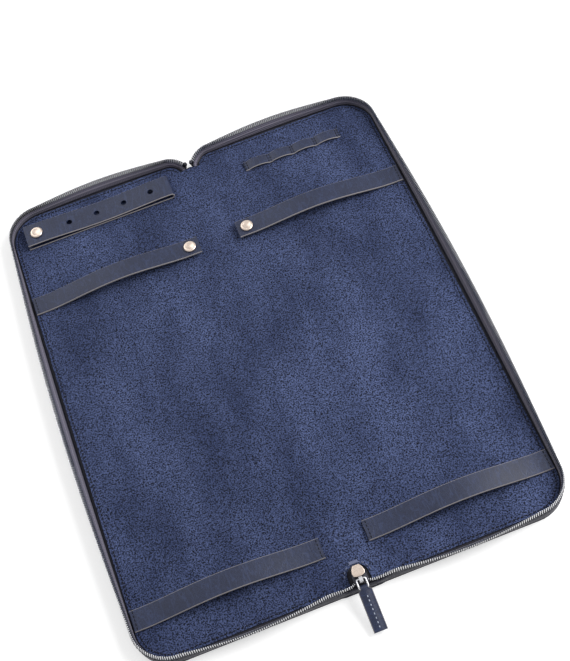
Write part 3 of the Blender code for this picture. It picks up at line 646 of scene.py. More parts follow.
def on_wall(side, stretches):
    """A placer for what stands in a tray's wall: distance from the notch, inset and height."""
    def place(distance, inset, height):
        (x, y), (out_x, out_y), lean = edge_at(stretches, distance)
        rise = max(0, (height - wall_foot) / (rim_height - wall_foot))
        carried = min(1, max(0, (height - wall_foot) / (chain_base - wall_foot)))
        notch_share = smooth_step(1 - distance / stretch_length(notch_arc))
        flop = notch_flop * notch_share
        sink = notch_drop * notch_share
        if distance > wall_length:
            sink = near_end_sink * smooth_step((distance - wall_length) / near_run_length)
        reach = (lean + notch_lean * notch_share) * rise - inset
        return (side * (x + out_x * reach - flop * rise), y + out_y * reach, height - sink * carried)
    return place


def strip(name, section, start, end, step):
    """A bar along X with a closed (y, z) section: a circle pulled to shape, extruded, repeated and closed."""
    steps = max(1, round((end - start) / step))
    pitch = (end - start) / steps
    piece = add_object(name, bpy.ops.mesh.primitive_circle_add, vertices=len(section))
    for corner, (y, z) in zip(piece.data.vertices, section):
        corner.co = (start, y, z)
    bpy.ops.object.mode_set(mode="EDIT")
    bpy.ops.mesh.select_all(action="SELECT")
    bpy.ops.mesh.extrude_region_move(TRANSFORM_OT_translate={"value": (pitch, 0, 0)})
    bpy.ops.object.mode_set(mode="OBJECT")
    repeat_along(piece, pitch, steps, True)
    for end_x in (start, end):
        chosen = {corner.index for corner in piece.data.vertices
                  if abs(corner.co.x - end_x) < merge_distance}
        for corner in piece.data.vertices:
            corner.select = corner.index in chosen
        for edge in piece.data.edges:
            edge.select = chosen.issuperset(edge.vertices)
        for face in piece.data.polygons:
            face.select = False
        bpy.ops.object.mode_set(mode="EDIT")
        bpy.ops.mesh.edge_face_add()
        bpy.ops.object.mode_set(mode="OBJECT")
    return piece


def wall_run(word, side, kind, make, stretches, lengths, material):
    """Three lengths of a wall strip: one bends at the notch, a long one is fixed, one bends at the slider."""
    pieces = {}
    for part, (start, end) in lengths.items():
        piece = make(word + "_" + kind + part, start, end)
        bend(piece, on_wall(side, stretches))
        dress(piece, material)
        if part:
            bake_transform(piece)
        else:
            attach(piece, word + "_leaf")
        pieces[part] = piece
    return pieces


def wall_section(flange):
    """Section of the leather wall in (inset, height), from the end of its flange round its outer face."""
    hem = wall_top - turned_edge
    return [(flange, board_base), (foot_radius, board_base), (0, board_base + foot_radius),
            (0, hem - hem_step), (hem_crease, hem), (0, hem + hem_step), (0, wall_top - hem_step),
            (hem_crease, wall_top), (wall_thickness, wall_top),
            (wall_thickness + hem_crease, wall_top - hem_step),
            (wall_thickness + hem_crease, hem), (wall_thickness, hem - hem_step),
            (wall_thickness, board_base + wall_thickness + foot_radius),
            (wall_thickness + foot_radius, board_base + wall_thickness),
            (flange, board_base + wall_thickness)]


wall_lengths = {"_at_notch": (0, notch_join), "": (notch_join, wall_length),
                "_at_slider": (wall_length, wall_length + near_run_length)}


def leather_strip(name, start, end):
    """A length of the wall's leather; only the long one has the whole flange."""
    flange = flange_width if end == wall_length else short_flange
    return strip(name, wall_section(flange), start, end, wall_step)


for side, word in sides.items():
    walls = wall_run(word, side, "leather_wall", leather_strip, tray_stretches + [near_run], wall_lengths,
                     pebbled_cowhide)
    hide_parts(word + "_gusset")
    seam = stitch_row(word + "_wall_seam", notch_join + stitch_pitch,
                      math.floor((wall_length - notch_join) / stitch_pitch) - 1, stitch_pitch, hem_crease,
                      wall_top - turned_edge)
    bend(seam, on_wall(side, tray_stretches))
    dress(seam, navy_thread_with_shade)
    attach(seam, word + "_leaf")

# End wall: a short length of the same leather closes the spine's near end under the zip slider.
# It stands between the ends of the two tray walls, turned in at its foot like them, and its top edge is low
# so that the slider and its puller hang over it.
end_wall_low, end_wall_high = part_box("spine_end_wall")
end_wall_y = end_wall_low.y
end_wall = strip("spine_end_leather", [
    (end_wall_y + short_flange, board_base), (end_wall_y + foot_radius, board_base),
    (end_wall_y, board_base + foot_radius), (end_wall_y, end_wall_high.z - hem_step),
    (end_wall_y + hem_crease, end_wall_high.z), (end_wall_y + wall_thickness, end_wall_high.z),
    (end_wall_y + wall_thickness + hem_crease, end_wall_high.z - hem_step),
    (end_wall_y + wall_thickness, board_base + 2 * foot_radius),
    (end_wall_y + short_flange, board_base + wall_thickness)], end_wall_low.x, end_wall_high.x, wall_step)
dress(end_wall, pebbled_cowhide)
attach(end_wall, "spine")
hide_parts("spine_end_wall")

# Zip tape: woven polyester, dyed a greyed purple-navy, sewn inside the wall with the chain along its top.
# It is a narrow twilled ribbon with a thick cord in its upper edge, coloured near-black as painted shade in
# the gaps between the teeth; a fine ridge runs along it where it is sewn to the leather behind.
tape_inset = 0.0016
tape_thickness = 0.0006
tape_foot = lining_top + 0.0002
tape_edge = 0.0112
tape_top = 0.0140
tape_cord = 0.0004
tape_ridge_height = 0.0088
tape_ridge_half = 0.0003
tape_ridge_depth = 0.00025
cord_inset, cord_back = 0.0008, 0.0017
rib_pitch = 0.0011
wave_texture_period = math.tau / 20
fuzz_per_metre = 1500
fuzz_share = 0.6

# Woven polyester tape: slanting ribs across the ribbon, matt, with a paler sewn ridge.
# The ribs are drawn 1.1 mm apart, about twice their real pitch, so that they show.
tape_weave, tape_shader = new_material("woven_polyester_tape", {"Roughness": 0.85, "Sheen Weight": 0.2})
tape_place = add_node(tape_weave, "ShaderNodeAttribute", {"attribute_name": "flat"})
rib = add_node(tape_weave, "ShaderNodeTexWave", {"bands_direction": "DIAGONAL"}, {
    "Scale": wave_texture_period / rib_pitch, "Distortion": 1.5, "Detail": 2}, {
    "Vector": (tape_place, "Vector")})
fuzz = add_node(tape_weave, "ShaderNodeTexNoise", values={"Scale": fuzz_per_metre, "Detail": 3}, links={
    "Vector": (tape_place, "Vector")})
weave_mix = add_node(tape_weave, "ShaderNodeMath", {"operation": "MULTIPLY_ADD"}, {1: fuzz_share}, {
    0: (fuzz, "Fac"), 2: (rib, "Fac")})
weave_share = add_node(tape_weave, "ShaderNodeMapRange", values={"From Min": 0.2, "From Max": 1.4}, links={
    "Value": (weave_mix, 0)})
tape_tone = add_node(tape_weave, "ShaderNodeMix", {"data_type": "RGBA"}, {
    6: colour("#2f2e3f"), 7: colour("#6a6676")}, {"Factor": (weave_share, "Result")})
tape_height = add_node(tape_weave, "ShaderNodeSeparateXYZ", links={"Vector": (tape_place, "Vector")})
ridge_gap = add_node(tape_weave, "ShaderNodeMath", {"operation": "COMPARE"}, {
    1: tape_ridge_height, 2: tape_ridge_half}, {0: (tape_height, "Z")})
ridge_tone = add_node(tape_weave, "ShaderNodeMix", {"data_type": "RGBA"}, {7: colour("#817d8c")}, {
    "Factor": (ridge_gap, 0), 6: (tape_tone, 2)})
# The cord above the tape's edge is near-black: painted shade in the gaps between the teeth
cord_shade_share = add_node(tape_weave, "ShaderNodeMath", {"operation": "GREATER_THAN"}, {1: tape_edge}, {
    0: (tape_height, "Z")})
cord_shade_tone = add_node(tape_weave, "ShaderNodeMix", {"data_type": "RGBA"}, {7: colour("#0c0c12")}, {
    "Factor": (cord_shade_share, 0), 6: (ridge_tone, 2)})
tape_relief = add_node(tape_weave, "ShaderNodeBump", values={"Strength": 0.7, "Distance": 0.0002}, links={
    "Height": (weave_mix, 0)})
feed(tape_weave, tape_shader, {"Base Color": (cord_shade_tone, 2), "Normal": (tape_relief, "Normal")})

tape_back = tape_inset + tape_thickness
tape_section = [(tape_inset, tape_foot), (tape_inset, tape_edge), (cord_inset, tape_edge + tape_cord),
                (cord_inset, tape_top - tape_cord), ((cord_inset + cord_back) / 2, tape_top),
                (cord_back, tape_top - tape_cord), (cord_back, tape_edge + tape_cord), (tape_back, tape_edge),
                (tape_back, tape_ridge_height + 2 * tape_ridge_half),
                (tape_back + tape_ridge_depth, tape_ridge_height + tape_ridge_half),
                (tape_back + tape_ridge_depth, tape_ridge_height - tape_ridge_half),
                (tape_back, tape_ridge_height - 2 * tape_ridge_half), (tape_back, tape_foot)]
for side, word in sides.items():
    tapes = wall_run(word, side, "woven_tape",
                     lambda name, start, end: strip(name, tape_section, start, end, wall_step),
                     tray_stretches + [near_chain_run], wall_lengths, tape_weave)
    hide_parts(word + "_zip_tape")
    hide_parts(word + "_zip_end_tape")

# Zip chain: separate teeth of die-cast zinc, plated a bright gunmetal, each clamped over the tape's cord.
# They stand 1.5 mm apart round the rim and follow the tape down into the slider at the near end. A longer
# clamp stops them at the notch; its near-black plating is painted shade at the dark ends of the walls.
tooth_pitch = 0.0015
tooth_length = 0.00085
tooth_foot = 0.0113
tooth_inset, tooth_back = 0.0001, 0.0023
tooth_tip_share = 0.25
tooth_crown_share = 0.8
tooth_rounding = 0.00018
stop_length = 0.0026
stop_step = stop_length / 3
chain_turn = 0.0092
chain_inner_y = -0.1765
metal_cloud_share = 0.2
duller_pits, glossier_pits = 0.08, 0.06


# Plated die-cast zinc: bright and slightly uneven, duller in its casting pits
def plated_metal(name, dark, light, roughness, pit_size):
    """Plated metal: a cloudy tone, roughness that follows it, and fine casting marks."""
    metal, shader = new_material(name, {"Metallic": 1})
    place = add_node(metal, "ShaderNodeTexCoord")
    cloud = add_node(metal, "ShaderNodeTexNoise", values={
        "Scale": metal_cloud_share / pit_size, "Detail": 3}, links={"Vector": (place, "Object")})
    pits = add_node(metal, "ShaderNodeTexNoise", values={"Scale": 1 / pit_size, "Detail": 2}, links={
        "Vector": (place, "Object")})
    tone = add_node(metal, "ShaderNodeMix", {"data_type": "RGBA"}, {6: colour(dark), 7: colour(light)}, {
        "Factor": (cloud, "Fac")})
    gloss = add_node(metal, "ShaderNodeMapRange", values={
        "From Min": 0.3, "From Max": 0.7, "To Min": roughness - glossier_pits,
        "To Max": roughness + duller_pits}, links={"Value": (pits, "Fac")})
    relief = add_node(metal, "ShaderNodeBump", values={"Strength": 0.15, "Distance": 0.00005}, links={
        "Height": (pits, "Fac")})
    feed(metal, shader, {
        "Base Color": (tone, 2), "Roughness": (gloss, "Result"), "Normal": (relief, "Normal")})
    return metal


gunmetal_plate = plated_metal("gunmetal_plated_zinc", "#a4a5aa", "#e9e9ec", roughness=0.27, pit_size=0.0004)
nickel_plate = plated_metal("satin_nickel_plate", "#b8a89c", "#d8cabe", roughness=0.3, pit_size=0.0006)
# Near-black plate: painted shade on the chain stops and the slider's plates, which lie in shadow
shade_dark_plate = plated_metal("black_nickel_plate", "#26262b", "#45454b", roughness=0.34, pit_size=0.0006)


def tooth_row(name, start, end):
    """The teeth between two distances: one cube made into a tooth, then repeated."""
    first = math.ceil(start / tooth_pitch - 0.5)
    count = math.ceil(end / tooth_pitch - 0.5) - first
    piece = add_object(name, bpy.ops.mesh.primitive_cube_add, size=1)
    for face in piece.data.polygons:
        if face.normal.z > 0.5:
            for number in face.vertices:
                piece.data.vertices[number].co.x *= tooth_crown_share
                piece.data.vertices[number].co.y *= tooth_tip_share
    bpy.ops.object.mode_set(mode="EDIT")
    bpy.ops.mesh.select_all(action="SELECT")
    bpy.ops.transform.resize(value=(tooth_length, tooth_back - tooth_inset, rim_height - tooth_foot))
    bpy.ops.transform.translate(value=((first + 0.5) * tooth_pitch, (tooth_back + tooth_inset) / 2,
                                       (rim_height + tooth_foot) / 2))
    bpy.ops.mesh.bevel(offset=tooth_rounding, segments=1)
    bpy.ops.object.mode_set(mode="OBJECT")
    repeat_along(piece, tooth_pitch, count, False)
    return piece


chain_stretches = tray_stretches + [
    near_chain_run,
    ("arc", (near_end_x, near_chain_y + chain_turn), chain_turn, -90, -180),
    ("run", (near_end_x - chain_turn, near_chain_y + chain_turn),
     (near_end_x - chain_turn, chain_inner_y), (-1, 0), corner_lean)]
chain_length = sum(stretch_length(stretch) for stretch in chain_stretches)
chain_lengths = {"_at_notch": (stop_length + tooth_pitch / 2, notch_join), "": (notch_join, wall_length),
                 "_at_slider": (wall_length, chain_length)}
for side, word in sides.items():
    chain = wall_run(word, side, "teeth", tooth_row, chain_stretches, chain_lengths, gunmetal_plate)
    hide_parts(word + "_zip_chain")
    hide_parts(word + "_zip_end_chain")
    stop = strip(word + "_chain_stop", [
        (tooth_inset, tooth_foot), (tooth_inset, rim_height - hem_step), (tooth_inset + hem_step, rim_height),
        (tooth_back - hem_step, rim_height), (tooth_back, rim_height - hem_step), (tooth_back, tooth_foot)],
        hem_step, stop_length, stop_step)
    bend(stop, on_wall(side, tray_stretches))
    round_edges(stop, tooth_rounding, 2)
    # The stop is near-black: painted shade at the walls' ends by the notch
    dress(stop, shade_dark_plate)
    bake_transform(stop)
    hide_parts(word + "_top_stop")

# Bar tack: a block of close stitches in slate polyester thread where the joined chains go under the lining.
# It is sewn through tapes and lining at the head of the arch, holds the chains' ends down, and ends the
# slider's run.
tack_low, tack_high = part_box("zip_bottom_stop")
tack_rise = 0.0007
tack = strip("chain_end_bar_tack", [
    (tack_low.y, lining_base), (tack_high.y, lining_base), (tack_high.y, lining_top + tack_rise / 2),
    (tack_high.y - hem_step, lining_top + tack_rise), (tack_low.y + hem_step, lining_top + tack_rise),
    (tack_low.y, lining_top + tack_rise / 2)], tack_low.x, tack_high.x, hem_step)
round_edges(tack, tooth_rounding, 2)
dress(tack, slate_thread)
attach(tack, "spine")
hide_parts("zip_bottom_stop")

# Zip slider: die-cast zinc, two shield-shaped plates with a slot between them, coloured near-black as
# painted shade round the cap.
# Their edges are turned towards each other to guide the teeth; a bridge over the top holds the puller, and
# a six-sided cap in satin nickel, with a raised rim, covers the bridge.
slider_low, slider_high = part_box("slider_body")
cap_low, cap_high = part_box("slider_cap")
plate_thickness = 0.0010
under_plate_thickness = 0.0008
plate_rounding = 0.00028
slot_half = 0.0006
guide_width = 0.0009
cap_rim = 0.0005
cap_recess = 0.0002
cap_rounding = 0.00015


def shield(name, half_width, near_y, far_y, shares, base, top):
    """A flat plate that is symmetrical about X, from shares of its half width and its length."""
    right = [(half_width * across, near_y + (far_y - near_y) * along) for across, along in shares]
    return sheet(name, RIGHT, right + [(-x, y) for x, y in right[::-1]], base, top)


slider_shares = [(0.55, 0), (0.9, 0.03), (1, 0.12), (1, 0.4), (0.9, 0.55), (0.72, 0.7), (0.72, 0.96),
                 (0.6, 1)]
guide_shares = slider_shares[2:7]
slider_half_width = slider_high.x
slider_pieces = []
for name, base, top in (("slider_shell", slider_high.z - plate_thickness, slider_high.z),
                        ("slider_under_plate", slider_low.z, slider_low.z + under_plate_thickness)):
    plate = shield(name, slider_half_width, slider_low.y, slider_high.y, slider_shares, base, top)
    round_edges(plate, plate_rounding, 3)
    slider_pieces.append(plate)
slider_middle = (slider_low.z + slider_high.z) / 2
for side in sides:
    for base, top in ((slider_low.z + plate_thickness / 2, slider_middle - slot_half),
                      (slider_middle + slot_half, slider_high.z - plate_thickness / 2)):
        outer = [(slider_half_width * across, slider_low.y + (slider_high.y - slider_low.y) * along)
                 for across, along in guide_shares]
        inner = [(x - guide_width, y) for x, y in outer[::-1]]
        slider_pieces.append(sheet("slider_guide", side, outer + inner, base, top))
bpy.ops.object.select_all(action="DESELECT")
for piece in slider_pieces:
    piece.select_set(True)
slider = slider_pieces[0]
bpy.context.view_layer.objects.active = slider
bpy.ops.object.join()
# The slider's plates are near-black: painted shade round the cap
dress(slider, shade_dark_plate)
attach(slider, "zip_slider")
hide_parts("slider_body")

cap_shares = [(0.45, 0), (0.9, 0.1), (1, 0.35), (0.85, 0.7), (0.5, 1)]
cap = shield("slider_cover_cap", cap_high.x, cap_low.y, cap_high.y, cap_shares, cap_low.z, cap_high.z)
round_edges(cap, cap_rounding, 2)
chosen = max(cap.data.polygons, key=lambda face: face.normal.z * face.area)
for part in list(cap.data.vertices) + list(cap.data.edges) + list(cap.data.polygons):
    part.select = False
chosen.select = True
bpy.ops.object.mode_set(mode="EDIT")
bpy.ops.mesh.select_mode(type="FACE")
bpy.ops.mesh.inset(thickness=cap_rim)
bpy.ops.mesh.inset(thickness=cap_recess)
bpy.ops.transform.translate(value=(0, 0, -cap_recess))
bpy.ops.mesh.select_mode(type="VERT")
bpy.ops.object.mode_set(mode="OBJECT")
dress(cap, nickel_plate)
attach(cap, "zip_slider")
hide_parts("slider_cap")
frame["nodes"]["slider_bridge"].material_slots[0].material = gunmetal_plate

# Link: a closed ring of plated wire that hangs from the slider's bridge and carries the leather puller.
# It is bent from round wire to a rectangle with rounded corners, and its ends meet inside the bridge.
puller_axis = hinges["puller_swing"]
puller_droop = math.radians(15)
wire_radius = 0.0006
wire_facets = 10
link_half_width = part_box("puller_link")[1].x - wire_radius
link_length = 0.0064
link_corner = 0.0012
link_step = 0.0003


def hang(across, along, above):
    """A point of the puller from its distance along and above its drooping line."""
    drop, reach = math.sin(puller_droop), math.cos(puller_droop)
    return (across, puller_axis.y - along * reach - above * drop,
            puller_axis.z - along * drop + above * reach)


link_stretches = [
    ("run", (0, 0), (link_half_width - link_corner, 0), (0, -1), 0),
    ("arc", (link_half_width - link_corner, link_corner), link_corner, -90, 0),
    ("run", (link_half_width, link_corner), (link_half_width, link_length - link_corner), (1, 0), 0),
    ("arc", (link_half_width - link_corner, link_length - link_corner), link_corner, 0, 90),
    ("run", (link_half_width - link_corner, link_length), (0, link_length), (0, 1), 0)]
half_link = sum(stretch_length(stretch) for stretch in link_stretches)


def along_link(distance, outwards, above):
    """A placer for the wire of the link, from the middle of its far bar all the way round."""
    side, passed = (RIGHT, distance) if distance <= half_link else (LEFT, 2 * half_link - distance)
    (x, along), (out_x, out_along), _ = edge_at(link_stretches, passed)
    return hang(side * (x + out_x * outwards), along + out_along * outwards, above)


wire_turns = [math.tau * facet / wire_facets for facet in range(wire_facets)]
wire_section = [(wire_radius * math.cos(turn), wire_radius * math.sin(turn)) for turn in wire_turns]
link = strip("puller_wire_link", wire_section, 0, 2 * half_link, link_step)
bend(link, along_link)
dress(link, gunmetal_plate)
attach(link, "zip_puller")
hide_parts("puller_link")

# Puller: a strip of smooth navy leather folded round the slider's link and sewn to itself down the middle.
# The two layers are pressed flat and trimmed together, wider below the link than round it, over a cord that
# raises its middle, and a row of pale thread runs along the ridge.
tab_end = 0.0352
tab_neck_start, tab_neck_end = 0.0066, 0.0084
tab_half_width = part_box("puller_tab")[1].x
tab_neck_half_width = 0.0026
tab_layer = 0.0012
tab_half_gap = 0.0007
tab_wrap_radius = 0.0015
tab_step = 0.0006
tab_seam_start, tab_seam_end = 0.0120, 0.0335
tab_ridge = 0.0007
tab_ridge_width = 0.0016
leather_edge_radius = 0.0004
leather_crown_share = 0.04
crown_shares = (-1, -0.8, -0.4, 0, 0.4, 0.8, 1)
tab_straight = tab_end - link_length
tab_turn = math.pi * tab_wrap_radius


def strap_section(half_width, thickness, middle_y=0, base=0):
    """Rounded section of a leather strap in (y, z), slightly crowned on its upper face."""
    edge, crown = leather_edge_radius, thickness * leather_crown_share
    near, far = middle_y - half_width, middle_y + half_width
    top = [(middle_y - share * (half_width - edge), base + thickness + crown * (1 - share * share))
           for share in crown_shares]
    return [(near + edge, base), (middle_y, base), (far - edge, base), (far, base + edge),
            (far, base + thickness - edge)] + top + [(near, base + thickness - edge), (near, base + edge)]


def round_link(distance, across, outwards):
    """A placer for the folded tab: lower layer, turn round the link, upper layer."""
    turned = distance - tab_straight
    if 0 < turned < tab_turn:
        angle = turned / tab_wrap_radius
        radius = tab_wrap_radius + outwards
        return hang(across * tab_neck_half_width / tab_half_width, link_length - radius * math.sin(angle),
                    -radius * math.cos(angle))
    upper = turned >= tab_turn
    along = link_length + (turned - tab_turn if upper else -turned)
    opening = 1 - smooth_step((along - link_length) / (tab_neck_end - link_length))
    level = tab_half_gap + (tab_wrap_radius - tab_half_gap) * opening + outwards
    width = smooth_step((along - tab_neck_start) / (tab_neck_end - tab_neck_start))
    share = (tab_neck_half_width + (tab_half_width - tab_neck_half_width) * width) / tab_half_width
    ridge = tab_ridge * math.exp(-(across / tab_ridge_width) ** 2) * width if outwards > 0 else 0
    return hang(across * share, along, (level + ridge) if upper else -level)


# Smooth calf: a tight grain, drawn at 0.7 mm so that it shows, with fine slanting creases and a low gloss
smooth_calf = grained_leather("smooth_navy_calf", "#131a31", "#2a3555", grain=0.0007, depth=0.0001,
                              relief_share=0.5, roughness=0.42, coat=0.14, crease_share=1.0,
                              placed_by="flat")
# Cut edges of the calf: pale brown-grey fibre under a thin navy edge dye; the same pale colour over the
# rounded top of each long edge is a painted highlight
calf_edge_and_highlight = mottled("dyed_cut_edge", "#6d6a70", "#a19c9c", blotch=0.0006, roughness=0.7,
                    relief_depth=0.00004)


def paint_cut_edges_and_highlights(piece, ends_too):
    """Give a strap's two long edges with their rounded tops, and its ends if they are cut too, the pale
    cut-edge colour; on the rounded tops it is a painted highlight.
    """
    piece.data.materials.append(calf_edge_and_highlight)
    flat = [kept.vector.copy() for kept in piece.data.attributes["flat"].data]
    first, last = min(spot.x for spot in flat), max(spot.x for spot in flat)
    near, far = min(spot.y for spot in flat), max(spot.y for spot in flat)
    for face in piece.data.polygons:
        spots = [flat[number] for number in face.vertices]
        on_side = all(min(spot.y - near, far - spot.y) < leather_edge_radius + merge_distance
                      for spot in spots)
        at_end = all(min(spot.x - first, last - spot.x) < merge_distance for spot in spots)
        if on_side or (ends_too and at_end):
            face.material_index = 1


tab = strip("leather_puller_tab", strap_section(tab_half_width, tab_layer, base=-tab_layer / 2), 0,
            2 * tab_straight + tab_turn, tab_step)
bend(tab, round_link)
dress(tab, smooth_calf)
paint_cut_edges_and_highlights(tab, True)
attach(tab, "zip_puller")
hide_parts("puller_tab")
tab_seam = stitch_row("puller_tab_seam", 0, math.floor((tab_seam_end - tab_seam_start) / stitch_pitch) + 1,
                      stitch_pitch, 0, tab_half_gap + tab_layer / 2 + tab_ridge - stitch_half_width / 2)
bend(tab_seam, lambda distance, across, above: hang(across, tab_seam_start + distance, above))
dress(tab_seam, pale_thread)
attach(tab_seam, "zip_puller")

# Tail straps: one across the near end of each tray, a band of smooth calf that things are slipped under.
# It is sewn down through the lining at both ends with a row of stitches, and it stands up a little along its
# middle because it is cut longer than the space it spans.
tail_low, tail_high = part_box("right_tail_strap")
strap_thickness = 0.0016
strap_step = 0.0022
tail_sewn_length = 0.008
end_seam_inset = 0.0020
end_seam_pitch = 0.0028
end_seam_count = 5
stitch_sink = 0.0001
lift_fullness = 1.5


def lift_over(x, start, end, base, end_base, rise):
    """Height of a strap's underside that arches between two heights."""
    share = min(max((x - start) / (end - start), 0), 1)
    return base + (end_base - base) * smooth_step(share) + rise * math.sin(math.pi * share) ** lift_fullness


def end_seam(name, side, x, y, height, count, pitch):
    """A row of navy stitches across a strap, along Y."""
    seam = stitch_row(name, -pitch * (count - 1) / 2, count, pitch, 0, 0)
    bend(seam, lambda distance, across, above: (side * (x + across), y + distance, height + above))
    dress(seam, navy_thread_with_shade)
    return seam


strap_half_width = (tail_high.y - tail_low.y) / 2
tail_y = (tail_high.y + tail_low.y) / 2
tail_rise = tail_high.z - tail_low.z - strap_thickness
for side, word in sides.items():
    tail = strip(word + "_tail_band", strap_section(strap_half_width, strap_thickness, tail_y), tail_low.x,
                 tail_high.x, strap_step)
    bend(tail, lambda x, y, z: (side * x, y, z + lift_over(
        x, tail_low.x + tail_sewn_length, tail_high.x - tail_sewn_length, tail_low.z, tail_low.z, tail_rise)))
    dress(tail, smooth_calf)
    paint_cut_edges_and_highlights(tail, True)
    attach(tail, word + "_leaf")
    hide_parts(word + "_tail_strap")
    for end_word, x in (("inner", tail_low.x + end_seam_inset), ("outer", tail_high.x - end_seam_inset)):
        seam = end_seam(word + "_tail_" + end_word + "_seam", side, x, tail_y,
                        tail_low.z + strap_thickness - stitch_sink, end_seam_count, end_seam_pitch)
        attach(seam, word + "_leaf")

# Tie straps: a band of smooth calf across each tray towards its far end, sewn down by the outer wall and
# closed beside the spine with a press stud. It lifts away from the lining when the stud is undone, bending
# just inside its seam. The stud's cap is a nickel-plated brass disc with a dished middle.
tie_low, tie_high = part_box("right_tie_strap")
tie_end_low, tie_end_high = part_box("right_tie_strap_tab")
tie_hinge_x = hinges["right_tie_strap_lift"].x
tie_rise = 0.0055
clearance = 0.0003
disc_points = 48
disc_height = 0.0015
disc_side = 0.0008
disc_shoulder = ((0.0002, 0.0003), (0.0003, 0.0002), (0.0004, 0.0002))
disc_rim_width = 0.0009
disc_dish_slope, disc_dish_depth = 0.0003, 0.00018


def press_stud_cap(prefix, body):
    """The visible cap of a press stud: a disc with a rounded shoulder and a shallow dished middle."""
    low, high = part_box(prefix + "_cap")
    middle, radius = (low + high) / 2, (high.x - low.x) / 2
    piece = add_object(prefix + "_disc", bpy.ops.mesh.primitive_circle_add, vertices=disc_points,
                       radius=radius, fill_type="NGON")
    bpy.ops.object.mode_set(mode="EDIT")
    bpy.ops.mesh.select_all(action="SELECT")
    bpy.ops.transform.translate(value=(middle.x, middle.y, high.z - disc_height))
    bpy.ops.mesh.extrude_region_move(TRANSFORM_OT_translate={"value": (0, 0, disc_side)})
    for width, rise in disc_shoulder + ((disc_rim_width, 0), (disc_dish_slope, -disc_dish_depth)):
        bpy.ops.mesh.inset(thickness=width)
        bpy.ops.transform.translate(value=(0, 0, rise))
    bpy.ops.mesh.select_all(action="SELECT")
    bpy.ops.mesh.normals_make_consistent(inside=False)
    bpy.ops.object.mode_set(mode="OBJECT")
    dress(piece, nickel_plate)
    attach(piece, body)
    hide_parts(prefix + "_cap")
    for part in ("_rivet", "_stud", "_socket"):
        frame["nodes"][prefix + part].material_slots[0].material = nickel_plate


tie_y = (tie_high.y + tie_low.y) / 2
stud_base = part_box("right_snap_socket")[1].z + clearance
stud_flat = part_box("right_snap_cap")[1].x + clearance
for side, word in sides.items():
    tie_band = strip(word + "_tie_band", strap_section(strap_half_width, strap_thickness, tie_y), tie_low.x,
                     tie_end_high.x, strap_step)
    bend(tie_band, lambda x, y, z: (side * x, y, z + lift_over(
        -x, -tie_hinge_x, -stud_flat, tie_end_low.z, stud_base, tie_rise)))
    dress(tie_band, smooth_calf)
    paint_cut_edges_and_highlights(tie_band, True)
    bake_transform(tie_band)
    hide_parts(word + "_tie_strap", word + "_tie_strap_tab")
    seam = end_seam(word + "_tie_seam", side, tie_end_high.x - end_seam_inset, tie_y,
                    tie_end_low.z + strap_thickness - stitch_sink, end_seam_count, end_seam_pitch)
    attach(seam, word + "_leaf")
    press_stud_cap(word + "_snap", word + "_tie_flap")

# Cuff strap: one long band of smooth calf at the far end of the left tray, folded over beside the spine.
# The under layer is glued to the lining; the upper one has four punched holes, closes at its outer end with
# a press stud, and bends up just past the fold.
base_low, base_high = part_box("cuff_strap_base")
flap_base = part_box("cuff_strap")[0].z
cuff_hinge_x = -hinges["cuff_strap_lift"].x
cuff_thickness = 0.0012
cuff_hole_radius = 0.00225
cuff_first_hole, cuff_hole_pitch, cuff_holes = 0.036, 0.0223, 4
cuff_flat_end = 0.014
cuff_hole_points = 24
cuff_y = (base_low.y + base_high.y) / 2
cuff_half_width = (base_high.y - base_low.y) / 2
cuff_reach = -base_low.x
fold_radius = (base_high.z - base_low.z - cuff_thickness) / 2
fold_centre_x = -base_high.x + cuff_thickness / 2 + fold_radius
fold_centre_z = base_low.z + cuff_thickness / 2 + fold_radius
fold_length = math.pi * fold_radius
base_length = cuff_reach - fold_centre_x
cuff_sag = 0.0022
cuff_step = 0.0011
punch_depth = 4 * cuff_thickness


def folded_over(distance, y, above):
    """A placer for the under layer and its fold; the outside of the fold is at low heights."""
    turned = distance - base_length
    if turned <= 0:
        return (-(cuff_reach - distance), y, base_low.z + cuff_thickness / 2 + above)
    radius = fold_radius - above
    if turned < fold_length:
        angle = turned / fold_radius
        return (-fold_centre_x + radius * math.sin(angle), y, fold_centre_z - radius * math.cos(angle))
    return (-fold_centre_x - (turned - fold_length), y, fold_centre_z + radius)


under_section = strap_section(cuff_half_width, cuff_thickness, cuff_y, -cuff_thickness / 2)
under_layer = strip("cuff_under_band", under_section, 0,
                    base_length + fold_length + cuff_hinge_x - fold_centre_x, tab_step)
bend(under_layer, folded_over)
dress(under_layer, smooth_calf)
paint_cut_edges_and_highlights(under_layer, False)
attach(under_layer, "left_leaf")
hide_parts("cuff_strap_base")

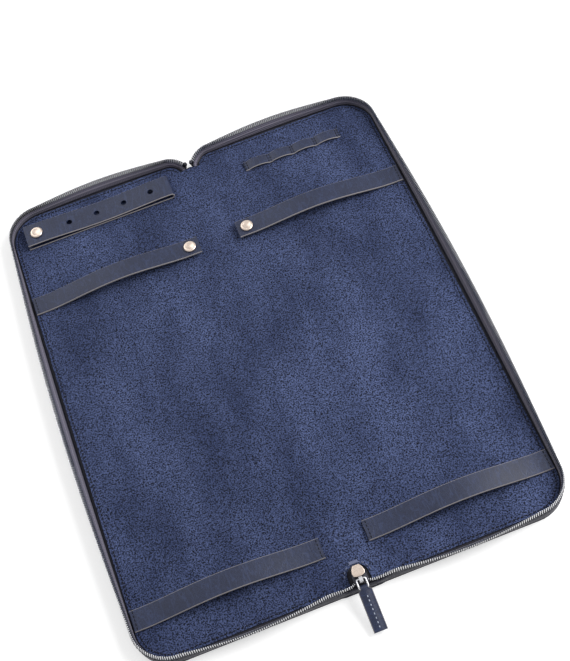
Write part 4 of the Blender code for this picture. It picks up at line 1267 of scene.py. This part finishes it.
upper_layer = strip("cuff_upper_band", strap_section(cuff_half_width, cuff_thickness, cuff_y), cuff_hinge_x,
                    cuff_reach, cuff_step)
for number in range(cuff_holes):
    punch = add_object("cuff_hole_punch", bpy.ops.mesh.primitive_cylinder_add, vertices=cuff_hole_points,
                       radius=cuff_hole_radius, depth=punch_depth,
                       location=(cuff_first_hole + number * cuff_hole_pitch, cuff_y, 0))
    hole = upper_layer.modifiers.new("hole", "BOOLEAN")
    hole.object = punch
    hole.solver = "EXACT"
    bpy.context.view_layer.objects.active = upper_layer
    bpy.ops.object.modifier_apply(modifier=hole.name)
    bpy.data.objects.remove(punch)
upper_layer.select_set(True)
bend(upper_layer, lambda x, y, z: (-x, y, z + lift_over(
    x, cuff_hinge_x, cuff_reach - cuff_flat_end, flap_base, flap_base, -cuff_sag)))
dress(upper_layer, smooth_calf)
paint_cut_edges_and_highlights(upper_layer, False)
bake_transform(upper_layer)
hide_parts("cuff_strap")
press_stud_cap("cuff_snap", "cuff_flap")

# Stay band: a narrow band of thin smooth calf near the far end of the right tray, sewn down on five lands.
# Between them four loops stand up a little from the lining; two rows of stitches cross every land.
band_low, band_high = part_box("collar_stay_band")
band_thickness = 0.001
loop_count = 4
loop_width = 0.0162
loop_shape = 0.6
band_step = 0.0007
band_seam_inset = 0.0005
band_seam_count = 3
band_seam_pitch = 0.0026
band_y = (band_low.y + band_high.y) / 2
loop_rise = 0.0017
land_width = (band_high.x - band_low.x - loop_count * loop_width) / (loop_count + 1)


def over_loops(x, y, z):
    """A placer for the band: flat on its lands and raised over each loop."""
    place = (x - band_low.x - land_width) % (loop_width + land_width)
    first, last = band_low.x + land_width, band_high.x - land_width
    inside = first < x < last and place < loop_width
    rise = loop_rise * math.sin(math.pi * place / loop_width) ** loop_shape if inside else 0
    return (x, y, z + band_low.z + rise)


band = strip("stay_band", strap_section((band_high.y - band_low.y) / 2, band_thickness, band_y), band_low.x,
             band_high.x, band_step)
bend(band, over_loops)
dress(band, smooth_calf)
paint_cut_edges_and_highlights(band, False)
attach(band, "right_leaf")
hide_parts("collar_stay_band")
for number in range(loop_count + 1):
    land_start = band_low.x + number * (loop_width + land_width)
    for edge_word, x in (("a", land_start + band_seam_inset),
                         ("b", land_start + land_width - band_seam_inset)):
        seam = end_seam("stay_seam_" + str(number) + edge_word, RIGHT, x, band_y,
                        band_low.z + band_thickness - stitch_sink, band_seam_count, band_seam_pitch)
        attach(seam, "right_leaf")
